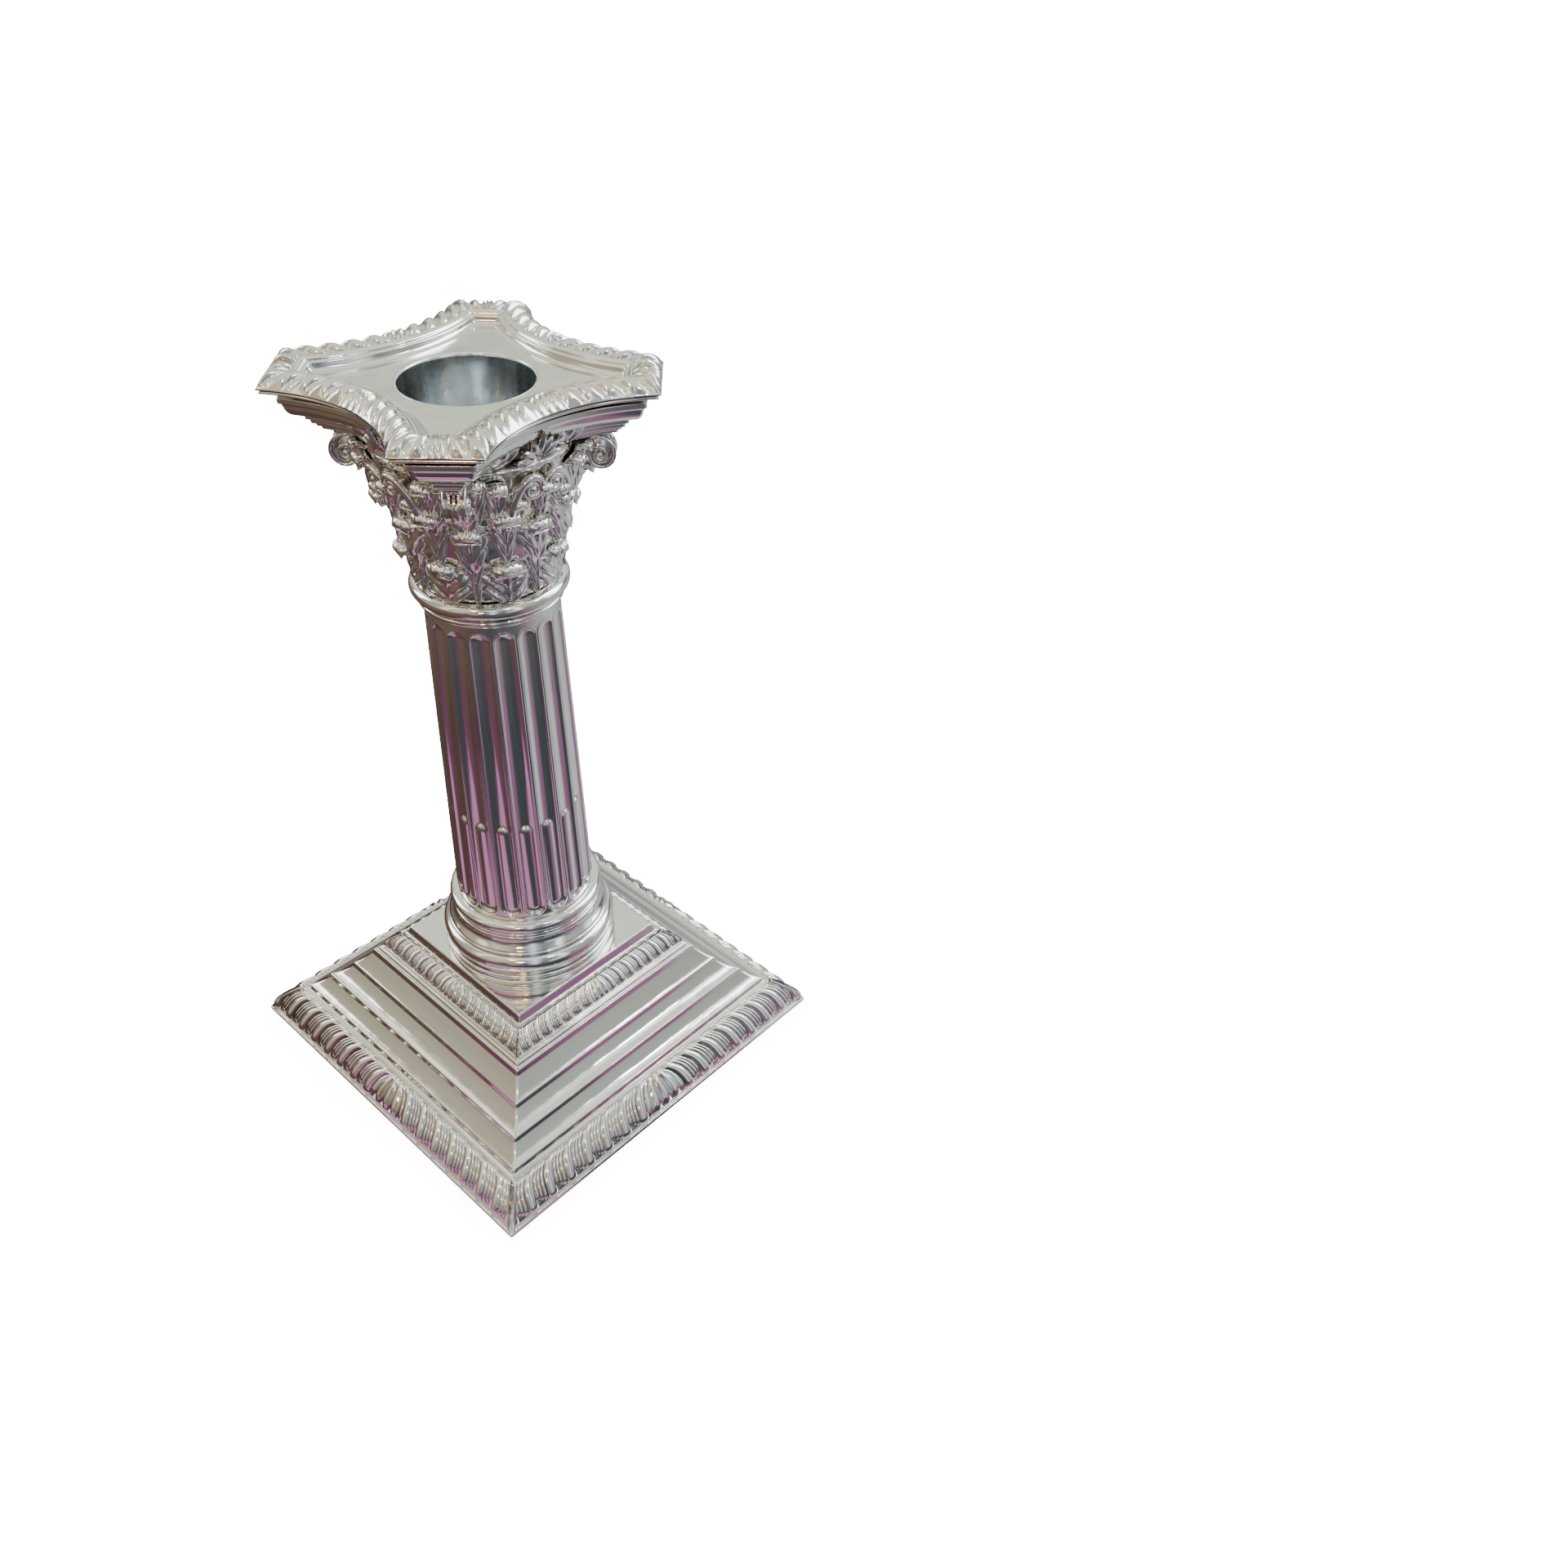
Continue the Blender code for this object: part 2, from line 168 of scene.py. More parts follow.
def silver(name, base, tarnish_and_shade, recess, rough=(0.07, 0.17), wave=0.25, scratch=0.12,
           streak=0.25):
    """Old polished silver: darker recesses, soft ripples and fine rubbing scratches. The recesses
    are tarnished, and on the gadroon silver their near-black colour is also painted shade.
    """
    made, nodes, shader = new_material(name)
    coords = nodes.coords()
    hollow = nodes.add("ShaderNodeNewGeometry").outputs["Pointiness"]
    stain = nodes.noise(coords, 90, 5, 0.62)
    patch = nodes.ramp(nodes.noise(coords, 34, 4, 0.6), [(0.42, (0, 0, 0)), (0.72, (1, 1, 1))])
    # darker where pointiness finds a recess: tarnished silver, and on the gadroon silver painted
    # shade in the grooves
    deep = nodes.ramp(hollow, [(recess[0], (1, 1, 1)), (recess[1], (0, 0, 0))])
    spread = nodes.mix(0.75, deep, nodes.ramp(stain, [(0.3, (0, 0, 0)), (0.62, (1, 1, 1))]),
                       "MULTIPLY")
    warm = nodes.mix(patch, base, tuple(c * f for c, f in zip(base, (0.965, 0.95, 0.90))))
    nodes.link(nodes.mix(spread, warm, tarnish_and_shade), shader.inputs["Base Color"])
    smear = nodes.noise(coords, 160, 6, 0.7, (1, 1, streak))
    rub = nodes.ramp(smear, [(0.3, (rough[0],) * 3), (0.75, (rough[1],) * 3)])
    nodes.link(nodes.mix(spread, rub, (0.42, 0.42, 0.42)), shader.inputs["Roughness"])
    shader.inputs["Metallic"].default_value = 1.0
    soft = nodes.bump(nodes.noise(coords, 120, 2, 0.4), wave, 0.0003)
    lines = nodes.noise(coords, 420, 3, 0.8, (1, 0.08, 0.5))
    cross = nodes.noise(coords, 380, 3, 0.8, (0.07, 1, 0.6))
    marks = nodes.mix(0.5, lines, cross, "MULTIPLY")
    nodes.link(nodes.bump(marks, scratch, 0.00006, soft), shader.inputs["Normal"])
    return made


def plain_surface(name, base, other, scale, rough, metallic=0.0, stretch=(1, 1, 1), depth=0.0002):
    """A plain material with mottled colour, uneven roughness and a fine bump."""
    made, nodes, shader = new_material(name)
    coords = nodes.coords()
    grain = nodes.noise(coords, scale, 6, 0.65, stretch)
    nodes.link(nodes.ramp(grain, [(0.3, base), (0.7, other)]), shader.inputs["Base Color"])
    nodes.link(nodes.ramp(grain, [(0.3, (rough,) * 3), (0.75, (min(rough * 1.35, 1.0),) * 3)]),
               shader.inputs["Roughness"])
    shader.inputs["Metallic"].default_value = metallic
    nodes.link(nodes.bump(grain, 0.5, depth), shader.inputs["Normal"])
    return made


def baize_material():
    """Felted green baize: short matted fibres with a soft sheen."""
    made, nodes, shader = new_material("green_baize_felt")
    coords = nodes.coords()
    fibre = nodes.noise(coords, 1500, 6, 0.75, (1, 0.35, 1))
    matted = nodes.noise(coords, 420, 4, 0.6, (0.4, 1, 1))
    both = nodes.mix(0.5, fibre, matted)
    nodes.link(nodes.ramp(both, [(0.35, (0.012, 0.07, 0.03)), (0.65, (0.04, 0.18, 0.075))]),
               shader.inputs["Base Color"])
    shader.inputs["Roughness"].default_value = 0.95
    shader.inputs["Sheen Weight"].default_value = 0.35
    nodes.link(nodes.bump(both, 0.8, 0.0004), shader.inputs["Normal"])
    return made


SILVER_COLOUR = (0.90, 0.89, 0.85)
TARNISH = (0.16, 0.13, 0.10)
POLISHED = silver("polished_silver_plain", SILVER_COLOUR, TARNISH, (0.40, 0.475), wave=0.5)
CHASED = silver("polished_silver_chased", SILVER_COLOUR, TARNISH, (0.435, 0.495),
                rough=(0.08, 0.2), wave=0.15)
# painted shade: the near-black recess colour of the gadroon silver darkens its grooves, over some
# real tarnishing
GADROON = silver("polished_silver_gadroon", SILVER_COLOUR, (0.08, 0.06, 0.06), (0.468, 0.508),
                 rough=(0.07, 0.18), wave=0.12)
LEAFY = silver("polished_silver_leaves", (0.93, 0.92, 0.89), (0.46, 0.42, 0.36), (0.30, 0.43),
               rough=(0.10, 0.2), wave=0.1)
# painted reflection: the socket silver's brighter blue-white base colour stands in for the cool
# window light it reflects
SATIN_BLUE_REFLECTION = silver("satin_silver_socket_painted_blue", (0.93, 0.965, 1.0), TARNISH, (0.30, 0.40),
               rough=(0.08, 0.26), wave=0.3, scratch=0.35, streak=0.05)


# -------------------- mesh helpers

class Build:
    """Collects several grids into the points and faces of one piece."""

    def __init__(self):
        self.points = []
        self.faces = []

    def grid(self, rows, wrap_rows=False, wrap_columns=False, flip=False):
        """Adds a grid of points in millimetres, an array of rows x columns x 3."""
        rows = np.asarray(rows, float)
        count, across = rows.shape[:2]
        start = len(self.points)
        for i in range(count if wrap_rows else count - 1):
            a, b = start + i * across, start + (i + 1) % count * across
            for j in range(across if wrap_columns else across - 1):
                k = (j + 1) % across
                quad = (a + j, a + k, b + k, b + j)
                self.faces.append(quad[::-1] if flip else quad)
        self.points += [tuple(p) for p in rows.reshape(-1, 3) * MM]

    def cap_ends(self, rows, count, flip=False):
        """Closes the first and last ring of the grid that was added last."""
        last = len(self.points) - count
        first = len(self.points) - rows * count
        for start, forward in ((first, not flip), (last, flip)):
            ring = tuple(range(start, start + count))
            self.faces.append(ring if forward else ring[::-1])

    def piece(self, name, body, look, slot="polished_silver", replaced=()):
        mesh = bpy.data.meshes.new(name)
        mesh.from_pydata(self.points, [], self.faces)
        mesh.validate()
        mesh.shade_smooth()
        mesh.materials.append(look)
        made = new_object(name, mesh)
        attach(made, body)
        if replaced:
            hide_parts(*replaced)


def rounded(profile, radius, steps=3, support=0.06, closed=True):
    """Rounds the corners of an outline of (a, b) points and adds a support point beside each."""
    result = []
    count = len(profile)
    for i, here in enumerate(profile):
        if not closed and i in (0, count - 1):
            result.append(here)
            continue
        here = np.array(here, float)
        before = np.array(profile[i - 1], float) - here
        after = np.array(profile[(i + 1) % count], float) - here
        len_a, len_b = np.linalg.norm(before), np.linalg.norm(after)
        cut = min(radius, 0.42 * len_a, 0.42 * len_b)
        edge = min(support, 0.05 * len_a, 0.05 * len_b)
        start, end = before / len_a, after / len_b
        result.append(tuple(here + start * (cut + edge)))
        for k in range(steps + 1):
            t = k / steps
            result.append(tuple(here + start * cut * (1 - t) ** 2 + end * cut * t ** 2))
        result.append(tuple(here + end * (cut + edge)))
    return result


def turned_piece(name, node, profile, segments=144, **how):
    """One piece from a closed profile of (radius, height), turned about Z."""
    angle = np.linspace(0, 2 * pi, segments, endpoint=False)
    rows = [[(r * cos(a), r * sin(a), z) for r, z in profile] for a in angle]
    ring_piece(name, node, rows, **how)


def ring_piece(name, node, rows, body=STAND, look=POLISHED, slot="polished_silver"):
    """One piece from a grid that closes both ways, in place of one CAD node."""
    build = Build()
    build.grid(rows, wrap_rows=True, wrap_columns=True)
    build.piece(name, body, look, slot, (node,))


def square_outline(half, corner):
    """A square of that half width with softly rounded corners, front left first."""
    inner = half - corner
    outline = []
    for quarter in range(4):
        turn = radians(-135 + 90 * quarter)
        centre = np.array((cos(turn), sin(turn))) * inner * sqrt(2)
        for k in range(5):
            a = turn + radians(-45 + 90 * k / 4)
            outline.append(centre + corner * np.array((cos(a), sin(a))))
        outline += side_support(half, quarter, inner)
    return outline


def side_support(half, quarter, inner):
    """Points that keep each long side flat up to its rounded corner."""
    turn = Matrix.Rotation(radians(90 * quarter), 2)
    along = [-inner + 0.4, -inner * 0.5, 0.0, inner * 0.5, inner - 0.4]
    return [np.array(turn @ Vector((x, -half))) for x in along]


def square_piece(name, node, profile, corner):
    """One piece from a closed profile of (half width, height), swept round a square."""
    columns = []
    for half, z in profile:
        outline = square_outline(half, min(corner, half * 0.3))
        columns.append([(x, y, z) for x, y in outline])
    ring_piece(name, node, np.array(columns).transpose(1, 0, 2))


# -------------------- foot

def cove(edge, foot, riser=0.26, steep=3.2, slope=1.35, tread=1.2, steps=11):
    """A short riser under an edge, then a slope that flattens towards the next edge.

    riser is the riser's share of the drop and steep its slope; slope is where the curve starts.
    """
    drop = edge[1] - foot[1]
    start = (edge[0] + riser * drop / steep, edge[1] - riser * drop)
    drop, run = start[1] - foot[1], foot[0] - start[0]
    power = (slope * run - tread) / (drop - tread)
    points = [start]
    for t in np.linspace(0, 1, steps + 1)[1:-1] ** 1.3:
        z = foot[1] + (drop - tread) * (1 - t) ** power + tread * (1 - t)
        points.append((start[0] + run * t, z))
    return points


def stepped_foot():
    """The stamped foot: flange, bed of the wide border, three coved steps and two beads."""
    half, top = high("foot_shell", 0), high("foot_shell")
    beads = [(16.0, top), (23.1, top), (23.5, top - 0.35), (23.95, top - 0.5),
             (24.05, top - 0.95)]
    edges = [(24.75, 19.15), (28.25, 14.95), (32.25, 11.5), (35.8, 8.15)]
    steps = []
    for edge, foot in zip(edges, edges[1:]):
        steps += [edge, *cove(edge, foot)]
    rim = [edges[-1], (36.15, 7.35), (36.6, 7.2), (37.05, 7.15), (37.3, 6.3), (42.3, 1.25),
           (half - 0.55, 1.2), (half - 0.5, 1.4), (half - 0.12, 1.4), (half, 1.25),
           (half, low("foot_shell"))]
    inside = [(41.4, low("foot_shell")), (41.4, 1.05), (36.2, 5.0), (22.6, 17.2), (16.0, 18.9)]
    square_piece("foot_steps", "foot_shell", rounded(beads + steps + rim + inside, 0.16), 0.35)


def dome(t):
    """Half round from -1 to 1, nought outside."""
    return np.sqrt(np.clip(1 - t * t, 0, 1))


def end_taper(v, start, end, soft):
    """One along a ridge, falling off as a quarter round at both of its ends."""
    front = dome(np.clip((start + soft * 0.3 - v) / (soft * 0.3), 0, 1))
    back = dome(np.clip((v - end + soft) / soft, 0, 1))
    return front * back


# Start, end, height and reach of each ridge in a group, as shares of the pitch and the width
REEDS = [(0.00, 0.50, 1.00, 0.98), (0.50, 0.68, 0.60, 0.92), (0.68, 0.84, 0.50, 0.86),
         (0.84, 1.00, 0.42, 0.80)]


def gadroon_height(x, v, pitch, slant, reeds):
    """Height of the gadroon ridges: x runs along the side from its middle, v across it.

    Each group is a broad lobe and thin reeds. They lean towards the corners, and a fan
    of reeds fills the middle of the side.
    """
    lean = slant * (1 - np.exp(-v / 0.33))
    middle = 0.42 * pitch + lean
    along = (np.abs(x) - middle) / pitch
    share = along - np.floor(along)
    height = np.zeros_like(share)
    for start, end, tall, reach in reeds:
        t = (share - (start + end) / 2) / ((end - start) / 2)
        height = np.maximum(height, tall * dome(t) * end_taper(v, 0.03, reach, 0.16))
    fan = np.abs(x) / middle
    spokes = 0.72 + 0.28 * np.cos(fan * pi * 4)
    centre = dome(np.clip(fan, 0, 1)) ** 0.6 * spokes * end_taper(v, 0.03, 1.0, 0.3)
    return np.where(fan < 1, centre, height)


def border_strip(name, node, turn, inner, outer, rise, lean, columns):
    """One mitred gadroon strip: a convex slope between two edges, carrying its ridges."""
    across, bow, lobes = 34, radians(17), 17
    v = np.linspace(0, 1, across)
    run, drop = outer[0] - inner[0], inner[1] - outer[1]
    slope, reach = atan2(drop, run), hypot(run, drop) / (2 * sin(bow))
    swing = slope - bow + 2 * bow * v
    half = inner[0] + reach * (np.sin(swing) - sin(slope - bow))
    z = inner[1] - reach * (cos(slope - bow) - np.cos(swing))
    normal = np.stack([np.gradient(z), -np.gradient(half)])
    normal = -normal / np.linalg.norm(normal, axis=0)
    pitch = 2 * outer[0] / lobes
    share = np.linspace(-1, 1, columns)
    x = share[:, None] * half[None, :]
    ridges = gadroon_height(x, np.broadcast_to(v, x.shape), pitch, lean, REEDS)
    mitre = 0.9 * dome((half[None, :] - np.abs(x)) / (0.17 * pitch))
    height = rise * np.maximum(ridges, mitre)
    depth = half[None, :] + normal[0] * height
    tall = z[None, :] + normal[1] * height
    face = np.stack([x, -depth, tall], axis=2)
    under = [(outer[0] - 0.1, outer[1] - 0.4), (inner[0] + 0.1, inner[1] - 0.7)]
    back = np.array([[(s * h, -h, t) for h, t in under] for s in share])
    rows = np.concatenate([face, back], axis=1) @ np.array(Matrix.Rotation(turn, 3, "Z")).T
    build = Build()
    build.grid(rows, wrap_columns=True)
    build.cap_ends(*rows.shape[:2])
    build.piece(name, STAND, GADROON, replaced=(node,))


# Inner and outer edge as (half width, height), rise of the ridges, lean, columns
WIDE_BORDER = ((37.3, 6.75), (42.1, 1.5), 1.0, 3.6, 760)
NARROW_BORDER = ((19.75, 23.45), (22.95, 20.45), 0.56, 1.6, 620)


def borders():
    """The wide border of the foot and the narrow one under the plinth, in four strips each."""
    for side, turn in SIDES.items():
        border_strip("wide_gadroon_" + side, "foot_border_" + side, turn, *WIDE_BORDER)
        border_strip("narrow_gadroon_" + side, "plinth_border_" + side, turn, *NARROW_BORDER)


def plinth():
    """The square block under the column, with its plain fascia."""
    top = high("plinth_block")
    half = high("column_base", 0) + 0.3
    profile = [(10.0, top), (half, top), (half + 0.25, top - 0.25), (half + 0.75, top - 1.7),
               (half + 1.15, top - 1.85), (half + 1.3, top - 2.3), (half + 1.2, top - 2.6),
               (half + 0.6, top - 5.3), (10.0, top - 5.3)]
    square_piece("plinth", "plinth_block", rounded(profile, 0.16), 0.3)


# -------------------- column

def bulge(radius, reach, bottom, top, points=12):
    """A half round moulding of that outer radius between two heights, top first."""
    middle, rise = (bottom + top) / 2, (top - bottom) / 2
    angle = np.linspace(pi / 2, -pi / 2, points)
    return [(radius - reach + reach * cos(a), middle + rise * sin(a)) for a in angle]


def column_base():
    """Attic base: upper torus, fillets, hollow, bead and the wide lower torus."""
    wide, bottom, top = high("column_base", 0), low("column_base"), high("column_base")
    hollow = [(15.25 + 1.2 * t - 0.5 * sin(pi * t), 36.5 - 2.6 * t)
              for t in np.linspace(0, 1, 9)]
    profile = [(13.6, top), *bulge(15.75, 1.35, 37.9, top - 0.1), (14.75, 37.75),
               *bulge(15.15, 0.35, 37.2, 37.7, 7), (14.85, 37.1), *bulge(15.3, 0.3, 36.6, 37.05, 7),
               *hollow, *bulge(16.8, 0.35, 33.2, 33.8, 7), (16.6, 33.05),
               *bulge(wide, 2.0, 28.6, 32.95, 16), (wide - 1.1, 28.45),
               *bulge(wide - 0.1, 0.45, 27.4, 28.3, 8), (wide - 0.35, 27.2),
               (wide - 0.25, bottom), (9.0, bottom), (9.0, top)]
    turned_piece("turned_base", "column_base", profile)


def ring(radius, angle, z):
    """Points at those angles and one height, with one radius or one for each."""
    return np.stack([radius * np.cos(angle), radius * np.sin(angle),
                     np.full_like(angle, z)], axis=1)


FLUTES = 18
FLUTE_SHARE = 0.84           # of each pitch, the rest is the flat fillet between flutes
FLUTE_DEPTH = 0.80
CABLE_TOP = 64.4
SHAFT_LOW_R, SHAFT_HIGH_R = 13.85, 12.0


def shaft_radius(z, bottom, top):
    return SHAFT_LOW_R + (SHAFT_HIGH_R - SHAFT_LOW_R) * ((z - bottom) / (top - bottom)) ** 1.1


def flute_depth(x, z, half, start, end):
    """Depth of a flute with round ends at offset x from its middle line."""
    above = np.clip((z - (end - half)) / half, 0, None)
    below = np.clip(((start + half) - z) / half, 0, None)
    t = (x / half) ** 2 + above ** 2 + below ** 2
    bead = 0.15 * np.exp(-((np.sqrt(t) - 1.07) / 0.08) ** 2)
    return FLUTE_DEPTH * np.clip(1 - t, 0, 1) ** 0.85 - bead


def cable_depth(x, z, half, start):
    """Depth of the convex cable's face, as a rod with a round top and foot."""
    rod = half * 0.84
    above = np.clip(z - (CABLE_TOP - rod), 0, None)
    below = np.clip((start + half * 0.5 + rod * 0.6) - z, 0, None) * 1.2
    inside = rod ** 2 - x ** 2 - above ** 2 - below ** 2
    face = 0.10 + 0.62 * (rod - np.sqrt(np.clip(inside, 0, None)))
    return np.where(inside > 0, face, 9.0)


def column_shaft():
    """Fluted and cabled drum, tapering upwards."""
    bottom, top = low("column_shaft"), high("column_shaft")
    start, end = bottom + 1.0, top - 1.5
    heights = np.concatenate([np.linspace(bottom, bottom + 6, 30),
                              np.linspace(bottom + 6.7, CABLE_TOP - 4.5, 14),
                              np.linspace(CABLE_TOP - 4, CABLE_TOP + 1, 26),
                              np.linspace(CABLE_TOP + 2, end - 5, 16),
                              np.linspace(end - 4.5, top, 30)])
    steps = 42
    share = np.linspace(-0.5, 0.5, steps, endpoint=False)
    z = heights[:, None]
    radius = shaft_radius(z, bottom, top)
    pitch = 2 * pi / FLUTES
    half = FLUTE_SHARE * pitch * radius / 2
    x = share[None, :] * pitch * radius
    depth = flute_depth(x, z, half, start, end)
    depth = np.minimum(depth, cable_depth(x, z, half, start))
    reach = radius - depth
    columns = []
    for flute in range(FLUTES):
        angle = (flute + share[None, :]) * pitch
        columns.append(np.stack([reach * np.cos(angle), reach * np.sin(angle),
                                 np.broadcast_to(z, reach.shape)], axis=2))
    outer = np.concatenate(columns, axis=1)
    angle = np.linspace(-pitch / 2, 2 * pi - pitch / 2, outer.shape[1], endpoint=False)
    inner = [ring(8.6, angle, z) for z in (top, bottom)]
    ring_piece("fluted_shaft", "column_shaft", np.concatenate([outer, inner]), look=CHASED)


def necking():
    """The thin ring at the top of the shaft and the wide one under the capital."""
    for kind, seat, reach, lift, points in (("thin", 12.0, 0.7, 0.15, 12),
                                            ("wide", 12.4, 1.5, 0.0, 18)):
        node = "neck_ring_" + kind
        bottom, top = low(node), high(node)
        profile = [(seat, top), *bulge(high(node, 0), reach, bottom + lift, top - 0.1, points),
                   (12.2, bottom), (11.0, bottom), (11.0, top)]
        turned_piece(kind + "_neck_ring", node, profile)


# -------------------- capital

BELL = [(12.4, 114.3), (12.5, 118.0), (12.9, 121.0), (13.8, 123.2), (14.0, 126.0),
        (14.2, 128.5), (15.1, 130.5), (15.9, 133.0), (16.5, 136.0), (17.0, 138.8), (16.9, 139.9)]


def bell_radius(z):
    return float(np.interp(z, [p[1] for p in BELL], [p[0] for p in BELL]))


def bell():
    """Flared bell, ribbed with upright furrows between the leaves."""
    bottom, top = low("capital_bell"), high("capital_bell")
    angle = np.linspace(0, 2 * pi, 384, endpoint=False)
    rows = []
    for z in np.linspace(bottom, top, 60):
        ripple = 0.22 * np.abs(np.sin(12 * angle + 0.35 * sin(z))) * np.cos(0.9 * z) ** 2
        rows.append(ring(bell_radius(z) + ripple, angle, z))
    rows += [ring(11.9, angle, z) for z in (top, bottom)]
    ring_piece("bell", "capital_bell", rows, look=CHASED)


def leaf_path(v, base, top, curl, stand_off):
    """Radius and height along a leaf: up the bell, then over in a curl."""
    bend = 0.68
    if v < bend:
        z = base + (top - base) * v / bend
        return bell_radius(z) + stand_off * (0.35 + 0.65 * v / bend), z
    swing = radians(172) * (v - bend) / (1 - bend)
    return bell_radius(top) + stand_off + curl * (1 - cos(swing)), top + curl * sin(swing)


def acanthus(build, turn, base, top, curl, widths, stand_off, lobes=4):
    """One acanthus leaf: mid rib, rounded lobes with hollows between, and a curled tip."""
    across, along = 31, 66
    fall = max(widths) / 4.7
    rows = []
    for v in np.linspace(0, 1, along):
        radius, z = leaf_path(v, base, top, curl, stand_off)
        width = float(np.interp(v, [0, 0.2, 0.45, 0.7, 0.85, 1.0], widths))
        tip = min(max((v - 0.52) / 0.22, 0), 1)
        front, back = [], []
        for u in np.linspace(-1, 1, across):
            side = abs(u)
            swell = abs(sin(pi * (lobes * v - 1.5 * side))) ** 0.6
            knob = abs(cos(2.5 * pi * u)) ** 0.7
            x = u * width * (0.74 + 0.26 * swell)
            rib = 0.55 * exp(-(x / 0.42) ** 2)
            lobe = (0.75 * swell * sin(pi * min(side, 0.97)) ** 0.7) * (1 - tip)
            lift = rib + lobe + 0.62 * knob * tip - 0.75 * side ** 4
            under = -0.25 - 0.35 * tip
            droop = tip * fall * (1.25 * side ** 2 - 0.25 * knob)
            angle = turn + x / radius
            for row, off in ((front, lift), (back, under)):
                reach, tall = offset_point(v, base, top, curl, stand_off, radius, z, off)
                reach -= 0.75 * fall * tip * side ** 2
                row.append((reach * cos(angle), reach * sin(angle), tall - droop))
        rows.append(front + back[::-1])
    build.grid(rows, wrap_columns=True, flip=True)
    build.cap_ends(len(rows), len(rows[0]))


def offset_point(v, base, top, curl, stand_off, radius, z, off):
    """A point of the leaf moved off its path, square to the path."""
    ahead, tall = leaf_path(min(v + 0.01, 1.0), base, top, curl, stand_off)
    behind, down = leaf_path(max(v - 0.01, 0.0), base, top, curl, stand_off)
    run, climb = ahead - behind, tall - down
    length = hypot(run, climb) or 1
    return radius + off * climb / length, z - off * run / length


def leaves():
    lower, upper = Build(), Build()
    base = low("leaves_lower")
    for i in range(8):
        turn = i * pi / 4
        acanthus(lower, turn + pi / 8, base, 120.9, 0.78, (3.4, 4.3, 4.7, 4.3, 3.6, 2.2), 0.9)
        acanthus(upper, turn, base + 0.3, 128.2, 0.80, (0.9, 1.1, 2.5, 3.9, 3.5, 2.1), 0.8, 6)
    lower.piece("acanthus_lower", STAND, LEAFY, replaced=("leaves_lower",))
    upper.piece("acanthus_upper", STAND, LEAFY, replaced=("leaves_upper",))


def sweep_strap(build, path, across, place):
    """Sweeps a strap section of (side, off) points along a path of (out, up, width) points."""
    rows = []
    for i, (out, up, width) in enumerate(path):
        a = np.array(path[max(i - 1, 0)][:2])
        b = np.array(path[min(i + 1, len(path) - 1)][:2])
        run, climb = (b - a) / (np.linalg.norm(b - a) or 1)
        row = []
        for side, off in across:
            row.append(place(out - climb * off, side * width, up + run * off))
        rows.append(row)
    build.grid(rows, wrap_columns=True, flip=True)
    build.cap_ends(len(rows), len(across))


def scroll_path(stem, eye, radius, turns, shrink, widths, clockwise=True):
    """A stem curve followed by a spiral that winds in round the eye."""
    path = []
    p0, p1, p2, p3 = (np.array(p, float) for p in stem)
    for t in np.linspace(0, 1, 26, endpoint=False):
        point = ((1 - t) ** 3 * p0 + 3 * (1 - t) ** 2 * t * p1 + 3 * (1 - t) * t * t * p2
                 + t ** 3 * p3)
        path.append((point[0], point[1], np.interp(t, [0, 1], widths[:2])))
    sign = -1 if clockwise else 1
    for s in np.linspace(0, turns, int(40 * turns)):
        swing = pi / 2 + sign * 2 * pi * s
        reach = radius * exp(-shrink * s)
        path.append((eye[0] + reach * cos(swing), eye[1] + reach * sin(swing),
                     np.interp(s / turns, [0, 1], widths[1:])))
    return path


STRAP = [(-1, 0.16), (-0.82, 0.20), (-0.62, 0.02), (-0.25, -0.10), (0, 0.06), (0.25, -0.10),
         (0.62, 0.02), (0.82, 0.20), (1, 0.16), (1, -0.32), (0.5, -0.42), (-0.5, -0.42),
         (-1, -0.32)]


def volutes():
    """Corner scrolls: a grooved strap rises from the bell and winds in to its eye."""
    for corner, turn in CORNERS.items():
        node = "volute_" + corner
        centre_z = (low(node) + high(node)) / 2 + 1.05
        radius = high(node) - centre_z - 0.15
        eye = (20.7, centre_z)
        top = (eye[0], eye[1] + radius)
        stem = [(13.6, 128.5), (14.6, 135.0), (17.2, top[1]), top]
        turned = Matrix.Rotation(turn, 3, "Z")

        def place(out, side, up, turned=turned):
            return tuple(turned @ Vector((out, side, up)))

        build = Build()
        path = scroll_path(stem, eye, radius, 1.9, 0.80, (1.1, 1.8, 2.0))
        sweep_strap(build, path, STRAP, place)
        drum = [(0.03, 0.75), (radius - 0.75, 0.7), (radius - 0.55, 0.5)]
        pin = [(0.03, 2.15), (0.45, 2.05), (0.62, 1.8), (0.66, 1.0)]
        for half in (drum, pin):
            rings = [(r, -side) for r, side in half] + [(r, side) for r, side in half[::-1]]
            rows = [[place(eye[0] + r * cos(a), side, eye[1] + r * sin(a))
                     for a in np.linspace(0, 2 * pi, 33)[:-1]] for r, side in rings]
            build.grid(rows, wrap_columns=True)
        web = []
        ceiling = low("abacus") - 0.05
        for out, up, _ in path[2:40:2]:
            reeds = [(f, 0.75 + 0.22 * cos(2 * pi * 3.5 * f)) for f in np.linspace(0, 1, 29)]
            lean = [(out - 1.2 * f, up + (ceiling - up) * f, side) for f, side in reeds]
            web.append([place(x, side, z) for x, z, side in lean]
                       + [place(x, -side, z) for x, z, side in lean[::-1]])
        build.grid(web, wrap_columns=True, flip=True)
        build.cap_ends(len(web), len(web[0]))
        acanthus(build, turn, 127.5, 133.4, 0.9, (1.6, 2.0, 2.5, 2.6, 2.3, 1.3), 1.6, 4)
        build.piece("scroll_" + corner, STAND, LEAFY, replaced=(node,))


